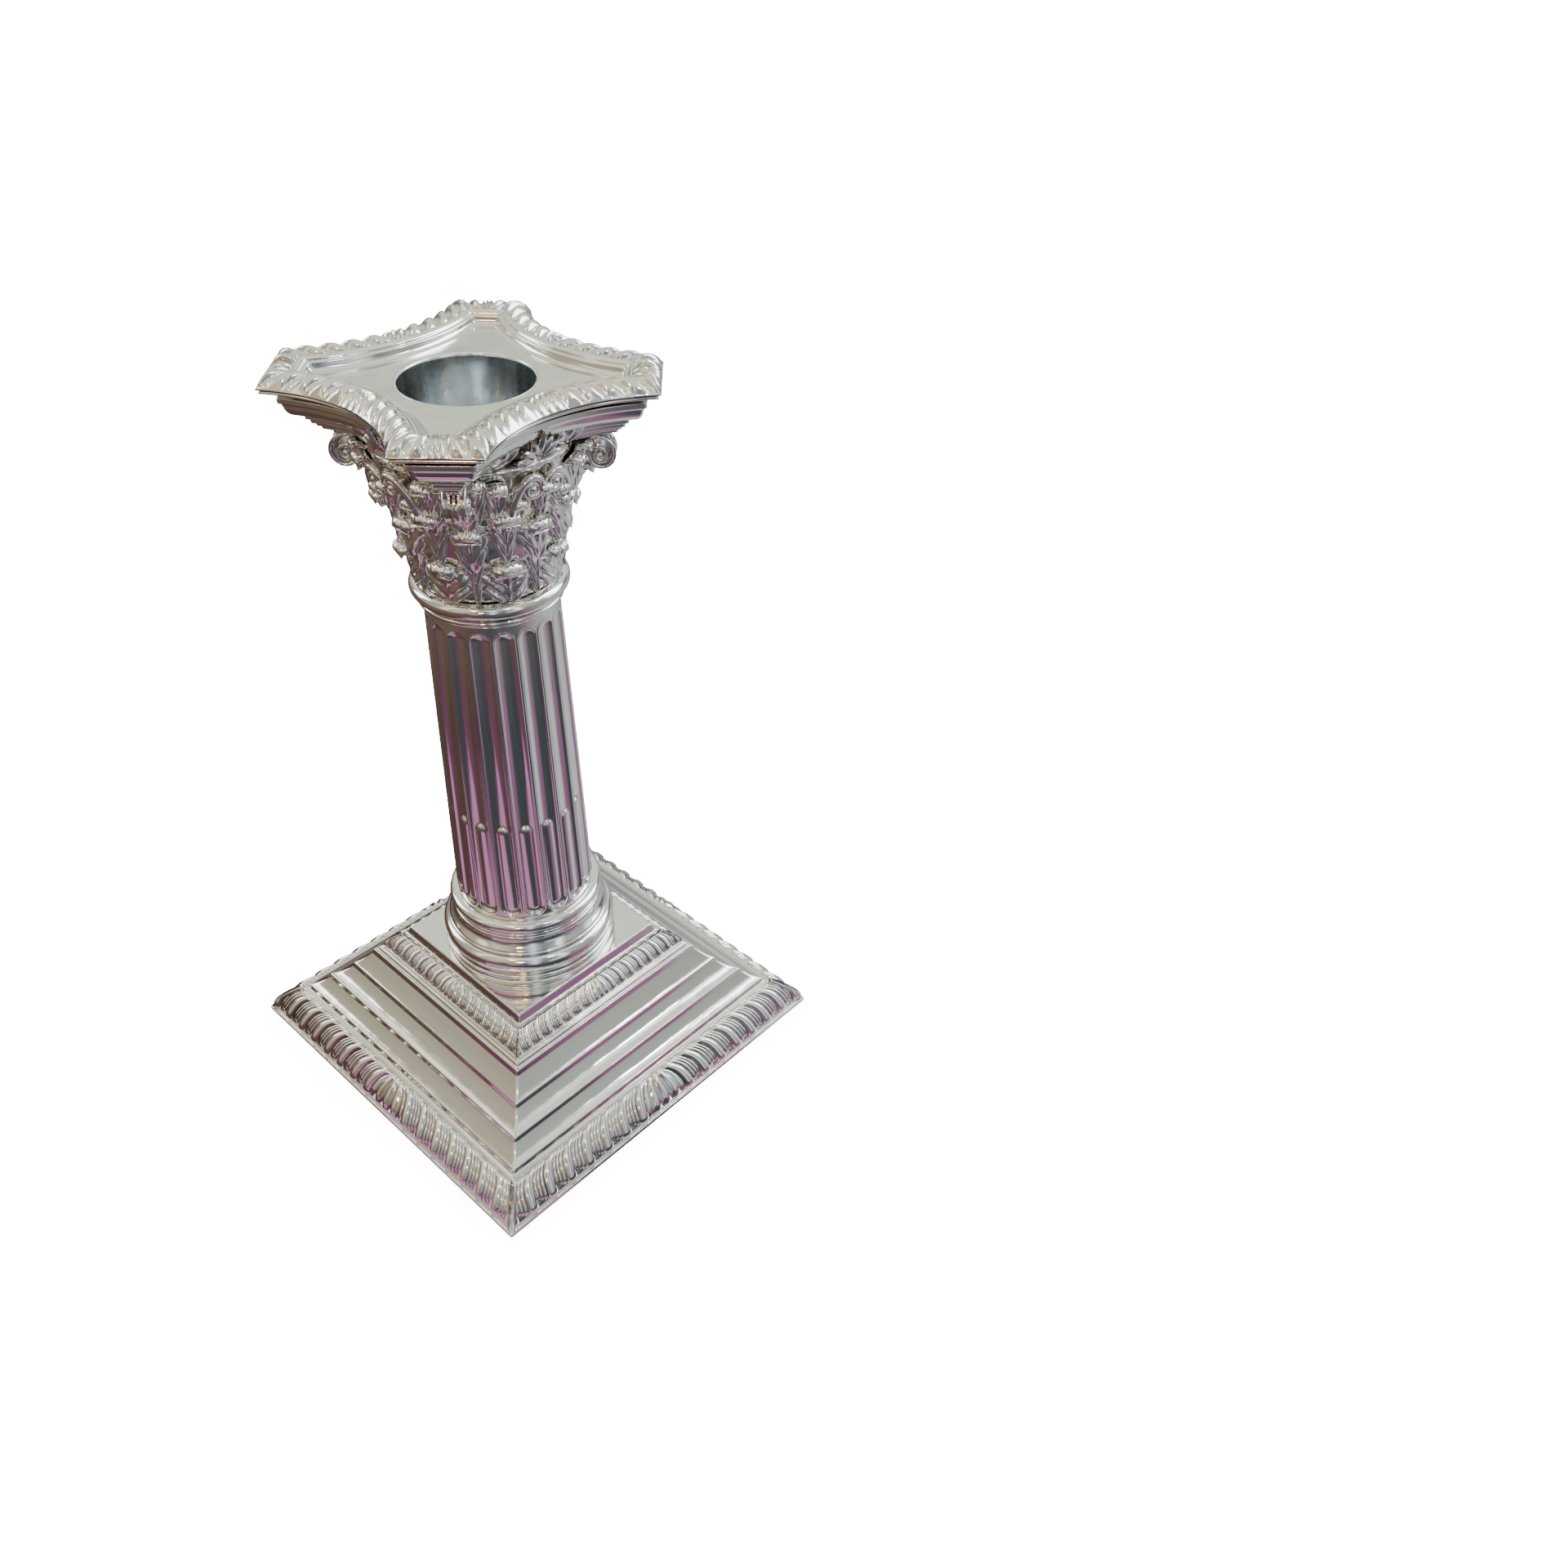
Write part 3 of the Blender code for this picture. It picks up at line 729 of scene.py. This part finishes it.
def tube(build, path, radii, sides=10):
    """A round tube along a path of points, tapering as radii say."""
    path = np.asarray(path, float)
    rows = []
    for i, here in enumerate(path):
        ahead = path[min(i + 1, len(path) - 1)] - path[max(i - 1, 0)]
        ahead = ahead / (np.linalg.norm(ahead) or 1)
        out = np.array((here[0], here[1], 0.0))
        out = out - ahead * out.dot(ahead)
        out = out / (np.linalg.norm(out) or 1)
        side = np.cross(ahead, out)
        rows.append([here + radii[i] * (out * cos(a) + side * sin(a))
                     for a in np.linspace(0, 2 * pi, sides, endpoint=False)])
    build.grid(rows, wrap_columns=True)
    build.cap_ends(len(rows), sides, flip=True)


def on_bell(turn, x, off, z):
    """A point at that arc distance from a face's middle line, standing off the bell."""
    radius = bell_radius(min(z, 139.0)) + off
    angle = turn - pi / 2 + x / radius
    return (radius * cos(angle), radius * sin(angle), z)


def helices():
    """Small inner scrolls in pairs under the middle of each abacus side: round tubes with a knob at
    each eye.
    """
    build = Build()
    for turn in SIDES.values():
        for hand in (-1, 1):
            eye = (2.35, 136.3)
            path = scroll_path([(6.2, 129.5), (6.2, 134.0), (4.6, 138.4), (2.35, 138.4)],
                               eye, 2.1, 1.6, 0.8, (0.75, 0.62, 0.36), clockwise=False)
            points = [on_bell(turn, hand * x, 1.5, z) for x, z, w in path]
            tube(build, points, [w for x, z, w in path])
            eye_ball = [on_bell(turn, hand * eye[0], d, eye[1]) for d in (0.2, 1.4, 1.9, 2.2)]
            tube(build, eye_ball, [0.75, 0.75, 0.5, 0.1])
    build.piece("inner_scrolls", STAND, LEAFY)


# Angle from the middle of the side, foot, top, curl, widths and stand off of each leaf
SPRAYS = [(0.27, 129.5, 133.6, 0.7, (1.0, 1.5, 2.0, 2.1, 1.9, 1.2), 0.5),
          (0.47, 130.5, 137.3, 0.8, (1.3, 1.9, 2.3, 2.4, 2.2, 1.4), 1.0),
          (0.66, 131.5, 138.3, 0.7, (1.0, 1.6, 2.0, 2.1, 1.9, 1.2), 1.3)]


def sheaths():
    """Sheath leaves that carry the scrolls, and the sprays that fill the field above them."""
    build = Build()
    for i in range(8):
        turn = i * pi / 4 + pi / 8
        acanthus(build, turn, 123.0, 131.2, 0.85, (1.2, 1.7, 2.6, 3.4, 3.3, 2.0), 0.7, 4)
    build.piece("sheath_leaves", STAND, LEAFY)
    for side, turn in SIDES.items():
        build = Build()
        for hand in (-1, 1):
            for aside, *shape in SPRAYS:
                acanthus(build, turn - pi / 2 + hand * aside, *shape, 3)
        acanthus(build, turn - pi / 2, 129.0, 135.6, 0.7, (0.7, 1.0, 1.3, 1.5, 1.4, 0.9), 0.9, 4)
        build.piece("field_sprays_" + side, STAND, LEAFY)


def petal(build, turn, centre, tilt, length, width, lean):
    """A pointed, ribbed petal standing on the front of the abacus."""
    rows = []
    for t in np.linspace(0, 1, 14):
        wide = width * sin(pi * min(t * 0.92 + 0.06, 1)) ** 0.8
        row = []
        for u in np.linspace(-1, 1, 9):
            x, up = u * wide, length * t
            lift = 0.75 * sin(pi * t) + 0.45 * (1 - abs(u)) + 0.5 * t * t
            row.append((x, up, lift))
        row += [(x, up, lift - 0.5) for x, up, lift in row[::-1]]
        rows.append(row)
    turned = Matrix.Rotation(turn, 3, "Z")
    placed = []
    for row in rows:
        line = []
        for x, up, lift in row:
            across = centre[0] + x * cos(tilt) + up * sin(tilt)
            rise = up * cos(tilt) - x * sin(tilt)
            out = centre[1] + lift + lean * rise
            line.append(tuple(turned @ Vector((across, -out, centre[2] + rise))))
        placed.append(line)
    build.grid(placed, wrap_columns=True)
    build.cap_ends(len(placed), len(placed[0]))


def fleurons():
    """A leafy spray on the middle of each side of the abacus."""
    for side, turn in SIDES.items():
        node = "fleuron_" + side
        build = Build()
        foot = low(node) - 0.1
        for tilt in (-78, -52, -26, 0, 26, 52, 78):
            length = 5.6 if tilt == 0 else 4.7
            petal(build, turn, (0, 16.1, foot), radians(tilt), length, 0.85, 0.42)
        for hand in (-1, 1):
            for tilt in (-48, -8, 32):
                petal(build, turn, (hand * 6.3, 15.2, foot + 0.4), radians(-hand * tilt), 4.3,
                      0.95, 0.5)
        build.piece("spray_" + side, STAND, LEAFY, replaced=(node,))


# -------------------- incurved square pieces

SIDE_CENTRE, SIDE_R, CORNER_CUT = 49.5, 28.0, 31.5


def corner_reach(inset):
    """Half angle of a side's arc once the outline is drawn in by inset."""
    radius = SIDE_R + inset
    cut = (CORNER_CUT - inset) * sqrt(2)
    middle = SIDE_CENTRE + cut
    across = (middle - sqrt(middle ** 2 - 2 * (SIDE_CENTRE ** 2 + cut ** 2 - radius ** 2))) / 2
    return atan2(cut - across, SIDE_CENTRE - across), radius


def incurved(inset, arc_points, cut_points):
    """Four hollow sides joined by straight cut corners, drawn in by inset."""
    reach, radius = corner_reach(inset)
    outline = []
    for side in range(4):
        turn = side * pi / 2
        for f in np.linspace(-1, 1, arc_points, endpoint=False):
            a = reach * f
            outline.append(spin(SIDE_CENTRE - radius * cos(a), radius * sin(a), turn))
        end = (SIDE_CENTRE - radius * cos(reach), radius * sin(reach))
        for g in np.linspace(0, 1, cut_points, endpoint=False):
            x = end[0] + (end[1] - end[0]) * g
            y = end[1] + (end[0] - end[1]) * g
            outline.append(spin(x, y, turn))
    return np.array(outline)


def spin(x, y, turn):
    return (x * cos(turn) - y * sin(turn), x * sin(turn) + y * cos(turn))


def incurved_row(inset, z, arc_points=64, cut_points=10):
    outline = incurved(inset, arc_points, cut_points)
    return np.column_stack([outline, np.full(len(outline), z)])


SPREAD = (0, 0.02, 0.05, 0.12, 0.25, 0.4, 0.55, 0.7, 0.82, 0.92, 0.98, 1.0)


def pierced_slab(build, section, radius):
    """Closes an incurved section, given from its top round to its underside, with a round bore."""
    rows = [incurved_row(inset, z) for inset, z in section]
    build.grid(rows, wrap_columns=True, flip=True)
    (inset, top), (_, bottom) = section[0], section[-1]
    rim = incurved_row(inset, top)
    circle = rim * (radius / np.linalg.norm(rim[:, :2], axis=1))[:, None]
    for z, under in ((top, False), (bottom, True)):
        rows = []
        for f in SPREAD:
            row = circle * (1 - f) + rim * f
            row[:, 2] = z
            rows.append(row)
        build.grid(rows, wrap_columns=True, flip=under)
    bore = [np.column_stack([circle[:, :2], np.full(len(circle), z)])
            for z in (bottom, bottom + 0.1, top - 0.1, top)]
    build.grid(bore, wrap_columns=True)


def abacus():
    """Incurved moulded slab, stepping in downwards."""
    top, bottom = high("abacus"), low("abacus")
    face = [(2.4, top), (2.4, top - 0.95), (2.75, top - 1.1), (2.95, top - 1.3)]
    sweep = [(3.0 + 1.9 * (1 - cos(t)), top - 1.3 - 2.3 * sin(t)) for t in
             np.linspace(0.15, pi / 2, 8)]
    steps = [(4.95, top - 3.8), (5.5, top - 3.85), (5.55, top - 4.6), (6.1, top - 4.7),
             (6.2, top - 5.45), (6.75, top - 5.55), (6.9, top - 6.1), (7.5, top - 6.2),
             (7.5, bottom), (8.2, bottom)]
    build = Build()
    pierced_slab(build, rounded([(8.2, top), *face, *sweep, *steps], 0.14, 2, closed=False), 12.5)
    build.piece("moulded_abacus", STAND, POLISHED, replaced=("abacus",))


def nozzle_tray():
    """Drip pan: flat floor, hollow inner walls in two steps, and the bed of its border."""
    floor = 148.6
    top = high("nozzle_tray")
    hole = high("nozzle_socket", 0) - 0.02
    section = [(7.25, floor), (6.85, floor + 0.08), (6.45, floor + 0.45), (6.3, floor + 0.95),
               (6.2, floor + 1.25), (5.75, floor + 1.35), (5.6, floor + 1.75), (5.1, top + 0.1),
               (3.0, top), (0.5, 148.75), (0.35, 148.3), (1.2, 148.0), (3.4, 147.8),
               (7.25, 147.8)]
    build = Build()
    pierced_slab(build, rounded(section, 0.2, 3, closed=False), hole)
    build.piece("drip_pan", NOZZLE, POLISHED, replaced=("nozzle_tray",))


NOZZLE_REEDS = [(0.00, 0.70, 1.00, 0.94), (0.70, 1.00, 0.45, 0.88)]


def nozzle_border():
    """The gadroon rim, following the hollow sides and the cut corners."""
    crest, edge, width = high("nozzle_border") - 0.06, low("nozzle_border"), 4.95
    across, arc_points, cut_points = 30, 300, 110
    v = np.linspace(0, 1, across)
    inset = width - width * v
    swell = np.sin(np.clip(0.5 + 2.64 * v, 0, pi)) ** 0.75
    rows = np.array([incurved_row(depth, edge, arc_points, cut_points) for depth in inset])
    block = arc_points + cut_points
    reach, radius = corner_reach(0)
    along = np.zeros(block)
    along[:arc_points] = np.linspace(-1, 1, arc_points, endpoint=False) * reach * radius
    cut_half = abs(CORNER_CUT - sqrt(2) * (SIDE_CENTRE - radius * cos(reach)))
    along[arc_points:] = np.linspace(-1, 1, cut_points, endpoint=False) * cut_half
    for index, share in enumerate(v):
        out = np.full(block, share)
        sides = gadroon_height(along[:arc_points], out[:arc_points], 3.75, 1.6, NOZZLE_REEDS)
        cuts = gadroon_height(along[arc_points:], out[arc_points:], 3.4, 0.5, NOZZLE_REEDS)
        ridges = 0.52 + 0.48 * np.concatenate([sides, cuts])
        rows[index, :, 2] += np.tile(ridges * swell[index] * (crest - edge), 4)
    under = [(0.35, edge - 0.02), (width - 0.2, crest - 0.9)]
    back = [incurved_row(i, z, arc_points, cut_points) for i, z in under]
    ring_piece("nozzle_gadroon", "nozzle_border", np.concatenate([rows, np.array(back)]),
               NOZZLE, CHASED)


def nozzle_socket():
    """The tube that holds the candle, burnished to a soft lip at its mouth."""
    inner, outer = high("nozzle_socket_floor", 0) + 0.3, high("nozzle_socket", 0)
    bottom, top = low("nozzle_socket"), 148.62
    wall = [(inner, z) for z in np.linspace(bottom + 1, top - 0.5, 12)]
    profile = [(outer, top), (outer, bottom), (inner, bottom), *wall, (inner + 0.03, top - 0.25),
               (inner + 0.16, top - 0.06), (inner + 0.34, top)]
    satin = {"body": NOZZLE, "look": SATIN_BLUE_REFLECTION, "slot": "satin_silver"}
    turned_piece("candle_tube", "nozzle_socket", profile, 160, **satin)
    radius, top = high("nozzle_socket_floor", 0), high("nozzle_socket_floor")
    disc = [(0.02, top - 0.25), (radius * 0.5, top - 0.2), (radius - 0.6, top), (radius, top - 0.1),
            (radius, low("nozzle_socket_floor")), (0.02, low("nozzle_socket_floor"))]
    turned_piece("tube_floor", "nozzle_socket_floor", disc, 96, **satin)


# -------------------- carried-over CAD nodes

def carried_over():
    steel = plain_surface("mild_steel", (0.42, 0.42, 0.43), (0.30, 0.29, 0.28), 500, 0.35, 1.0,
                          (1, 1, 0.1))
    pitch = plain_surface("black_pitch", (0.012, 0.010, 0.009), (0.035, 0.030, 0.026), 260, 0.42)
    wood = plain_surface("sawn_board", (0.30, 0.17, 0.08), (0.46, 0.29, 0.15), 300, 0.55,
                         stretch=(0.08, 1, 1))
    looks = {"centre_rod": steel, "rod_washer_low": steel, "rod_nut_low": steel,
             "top_plate": steel, "rod_nut_top": steel, "column_loading": pitch,
             "foot_loading": pitch, "base_plate": wood, "baize_pad": baize_material(),
             "capital_socket": SATIN_BLUE_REFLECTION}
    for node, look in looks.items():
        piece = frame["nodes"][node]
        piece.data.materials.clear()
        piece.data.materials.append(look)


# -------------------- studio

def square(reach):
    return [(-reach, -reach), (reach, -reach), (reach, reach), (-reach, reach)]


def floor():
    """A plain pale floor with pale walls standing far off round its edge."""
    mesh = bpy.data.meshes.new("studio_floor")
    reach, tall = 6.0, 9.0
    points = [(x, y, z) for z in (0, tall) for x, y in square(reach)]
    walls = [(k, k + 4, (k + 1) % 4 + 4, (k + 1) % 4) for k in range(4)]
    mesh.from_pydata(points, [], [(0, 1, 2, 3), *walls])
    sheet = new_object("studio_floor", mesh)
    look, _, shader = new_material("pale_floor")
    shader.inputs["Base Color"].default_value = (0.9, 0.9, 0.9, 1)
    shader.inputs["Emission Color"].default_value = (1, 1, 1, 1)
    shader.inputs["Emission Strength"].default_value = 7.0
    shader.inputs["Roughness"].default_value = 0.9
    shader.inputs["Specular IOR Level"].default_value = 0.1
    mesh.materials.append(look)
    sheet.visible_glossy = False


def area_light(name, place, aim, size, power, colour):
    lamp = bpy.data.lights.new(name, "AREA")
    lamp.shape = "RECTANGLE"
    lamp.size, lamp.size_y = size
    lamp.energy = power
    lamp.color = colour
    made = new_object(name, lamp)
    made.location = place
    made.rotation_euler = (Vector(aim) - Vector(place)).to_track_quat("-Z", "Y").to_euler()


def lights():
    aim = (0, 0, 0.07)
    area_light("window", (0.95, -0.35, 0.75), aim, (0.55, 0.9), 10.0, (0.86, 0.93, 1.0))
    area_light("window_left", (-0.45, 0.95, 0.55), aim, (0.35, 0.6), 3.0, (0.95, 0.96, 0.98))
    area_light("warm_lamp", (-0.75, -0.55, 0.62), aim, (0.09, 0.09), 0.9, (1.0, 0.62, 0.30))
    area_light("warm_lamp_high", (-0.55, -0.20, 0.85), aim, (0.07, 0.07), 0.6, (1.0, 0.70, 0.42))
    area_light("lamp_near", (-0.12, -0.62, 0.85), aim, (0.06, 0.06), 0.5, (0.93, 0.97, 1.0))
    area_light("lamp_right", (0.45, -0.55, 0.80), aim, (0.06, 0.06), 0.5, (0.95, 0.98, 1.0))
    area_light("ceiling", (0, 0, 1.6), (0, 0, 0), (2.0, 2.0), 5.0, (1.0, 0.99, 0.92))


def azimuth_share(nodes, coords):
    """Compass direction of a vector as 0 to 1, and its Z."""
    split = nodes.add("ShaderNodeSeparateXYZ")
    nodes.link(coords, split.inputs[0])
    turn = nodes.math("ARCTAN2", split.outputs["Y"], split.outputs["X"])
    return nodes.map_range(turn, -pi, pi), split.outputs["Z"]


def bearing(degree):
    return (degree + 180) / 360


def compass(nodes, share, stops):
    """Colours round the compass, given at degrees from the +X axis."""
    return nodes.ramp(share, [(bearing(degree), colour) for degree, colour in stops])


OLIVE, BROWN, SLATE = (0.46, 0.42, 0.33), (0.15, 0.11, 0.08), (0.06, 0.07, 0.08)


def world():
    """A pale ceiling over walls with windows and dark furniture."""
    made = bpy.data.worlds.new("studio")
    bpy.context.scene.world = made
    made.use_nodes = True
    nodes = Nodes(made.node_tree)
    back = made.node_tree.nodes["Background"]
    coords = nodes.coords("Generated")
    share, tall = azimuth_share(nodes, coords)
    ceiling = compass(nodes, share, [
        (-180, (0.84, 0.81, 0.64)), (-160, (0.60, 0.55, 0.42)), (-148, (0.24, 0.21, 0.18)),
        (-138, (0.20, 0.23, 0.28)), (-131, (0.45, 0.53, 0.64)), (-126, (1.3, 1.45, 1.6)),
        (-121, (0.45, 0.52, 0.60)), (-112, (0.22, 0.26, 0.30)), (-97, (0.36, 0.40, 0.42)),
        (-89, (2.0, 2.2, 2.3)), (-81, (0.48, 0.53, 0.51)), (-49, (0.46, 0.50, 0.47)),
        (-39, (2.0, 2.2, 2.25)), (-29, (0.60, 0.66, 0.62)), (-10, (0.90, 0.99, 0.92)),
        (45, (0.98, 1.08, 0.92)), (90, (0.94, 1.0, 0.82)), (104, (0.6, 0.57, 0.45)),
        (113, (1.9, 1.8, 1.5)), (122, (0.52, 0.48, 0.38)), (152, (0.52, 0.48, 0.37)),
        (162, (1.9, 1.75, 1.4)), (171, (0.5, 0.46, 0.35)), (180, (0.84, 0.81, 0.64))])
    walls = compass(nodes, share, [
        (-180, OLIVE), (-163, BROWN), (-150, (0.5, 0.46, 0.34)), (-137, SLATE),
        (-131, (0.2, 0.24, 0.28)), (-126, (1.2, 1.35, 1.5)), (-121, (0.2, 0.24, 0.28)),
        (-112, (0.10, 0.12, 0.14)), (-104, (0.75, 0.85, 0.95)), (-88, (0.8, 0.9, 1.0)),
        (-82, (0.20, 0.18, 0.20)), (-70, (0.44, 0.40, 0.42)), (-52, (0.48, 0.44, 0.46)),
        (-42, (1.1, 1.2, 1.3)), (-22, (1.1, 1.2, 1.3)), (-14, SLATE), (6, (0.2, 0.22, 0.23)),
        (14, (0.9, 1.0, 1.05)), (40, (0.55, 0.58, 0.52)), (70, (0.16, 0.15, 0.12)),
        (86, (0.5, 0.48, 0.38)), (112, BROWN), (138, OLIVE), (160, (0.50, 0.44, 0.33)),
        (180, OLIVE)])
    skirting = compass(nodes, share, [
        (-180, (0.20, 0.12, 0.10)), (-140, (0.14, 0.12, 0.14)), (-110, (0.22, 0.14, 0.22)),
        (-50, (0.30, 0.16, 0.27)), (-20, (0.5, 0.5, 0.55)), (40, (0.4, 0.38, 0.4)),
        (100, (0.18, 0.12, 0.12)), (150, (0.17, 0.12, 0.09)), (180, (0.20, 0.12, 0.10))])
    crown = nodes.mix(nodes.smooth_step(tall, 0.78, 0.93), ceiling, (0.62, 0.63, 0.57))
    upper = nodes.mix(nodes.smooth_step(tall, 0.15, 0.46), walls, crown)
    nodes.link(nodes.mix(nodes.smooth_step(tall, -0.02, 0.05), skirting, upper),
               back.inputs["Color"])
    back.inputs["Strength"].default_value = 1.0


LIT_PATCH_BEARING = -163         # of the pink patch of painted light, in degrees from the +X axis
LIT_PATCH_HALF = (0.125, -0.012)  # its half width near and far, as a share of the compass
# painted light: the colour of the lit part of the cloth
LIT_PINK = (0.70, 0.31, 0.57)


def reflection_card():
    """A glowing card under the floor, met only by the silver's reflections: a painted reflection of
    a plum cloth.

    A bright pink patch of painted light lies on the near left, narrowing as it goes away from the
    stand; the dark plum round it is painted shade.
    """
    reach, depth = 1.6, -0.002
    mesh = bpy.data.meshes.new("reflection_card")
    mesh.from_pydata([(x, y, depth) for x, y in square(reach)], [], [(0, 1, 2, 3)])
    card = new_object("reflection_card", mesh)
    look, nodes, shader = new_material("plum_cloth_painted_reflection")
    coords = nodes.coords()
    share, _ = azimuth_share(nodes, coords)
    ground = compass(nodes, share, [
        (-180, (0.22, 0.06, 0.15)), (-168, (0.16, 0.06, 0.12)), (-150, (0.06, 0.05, 0.07)),
        (-135, SLATE), (-92, (0.07, 0.085, 0.095)), (-82, (0.34, 0.14, 0.28)),
        (-62, (0.38, 0.17, 0.32)), (-52, (0.62, 0.66, 0.70)), (-20, (0.72, 0.78, 0.84)),
        (20, (0.46, 0.44, 0.48)), (60, (0.30, 0.15, 0.25)), (95, (0.10, 0.05, 0.06)),
        (125, (0.10, 0.07, 0.05)), (155, (0.11, 0.07, 0.06)), (180, (0.20, 0.06, 0.14))])
    length = nodes.add("ShaderNodeVectorMath", operation="LENGTH")
    nodes.link(coords, length.inputs[0])
    far = length.outputs["Value"]
    narrow = nodes.map_range(far, 0.05, 0.15, LIT_PATCH_HALF)
    gap = nodes.math("ABSOLUTE", nodes.math("SUBTRACT", share, bearing(LIT_PATCH_BEARING)))
    pink = nodes.smooth_step(nodes.math("SUBTRACT", narrow, gap), -0.008, 0.012)
    weave = nodes.noise(coords, 30, 4, 0.6)
    folds = nodes.ramp(weave, [(0.35, (0.72, 0.72, 0.75)), (0.62, (1, 1, 1))])
    beyond = compass(nodes, share, [
        (-180, (0.16, 0.11, 0.09)), (-140, (0.10, 0.10, 0.11)), (-92, (0.15, 0.15, 0.17)),
        (-62, (0.44, 0.42, 0.45)), (-20, (0.66, 0.70, 0.75)), (60, (0.28, 0.25, 0.27)),
        (110, (0.16, 0.12, 0.09)), (150, (0.20, 0.15, 0.10)), (180, (0.16, 0.11, 0.09))])
    ground = nodes.mix(nodes.smooth_step(far, 0.13, 0.24), ground, beyond)
    # painted light: the pink patch is the lit cloth, laid over the darker ground, whose dark plum
    # is painted shade
    colour = nodes.mix(pink, ground, LIT_PINK)
    shader.inputs["Base Color"].default_value = (0, 0, 0, 1)
    shader.inputs["Specular IOR Level"].default_value = 0.0
    nodes.link(nodes.mix(1.0, colour, folds, "MULTIPLY"), shader.inputs["Emission Color"])
    shader.inputs["Emission Strength"].default_value = 1.0
    mesh.materials.append(look)
    # the card glows though it is no lamp, and only glossy rays meet it
    for ray in ("camera", "diffuse", "transmission", "volume_scatter", "shadow"):
        setattr(card, "visible_" + ray, False)


CAMERA_PLACE = (-0.1221, -0.1763, 0.2324)
CAMERA_AIM = (0.0395, -0.0393, 0.0650)
CAMERA_ROLL = 2.63
LENS, SENSOR = 30.55, 36.0


def camera():
    lens = bpy.data.cameras.new("camera")
    lens.lens = LENS
    lens.sensor_width = SENSOR
    lens.shift_x = -0.0055
    lens.clip_start = 0.01
    made = new_object("camera", lens)
    view = (Vector(CAMERA_AIM) - Vector(CAMERA_PLACE)).to_track_quat("-Z", "Y")
    made.matrix_world = (Matrix.Translation(CAMERA_PLACE) @ view.to_matrix().to_4x4()
                         @ Matrix.Rotation(radians(CAMERA_ROLL), 4, "Z"))
    bpy.context.scene.camera = made


for make in (camera, stepped_foot, borders, plinth, column_base, column_shaft, necking, bell,
             leaves, sheaths, volutes, helices, fleurons, abacus, nozzle_tray, nozzle_border,
             nozzle_socket, carried_over, floor, reflection_card, lights, world):
    make()
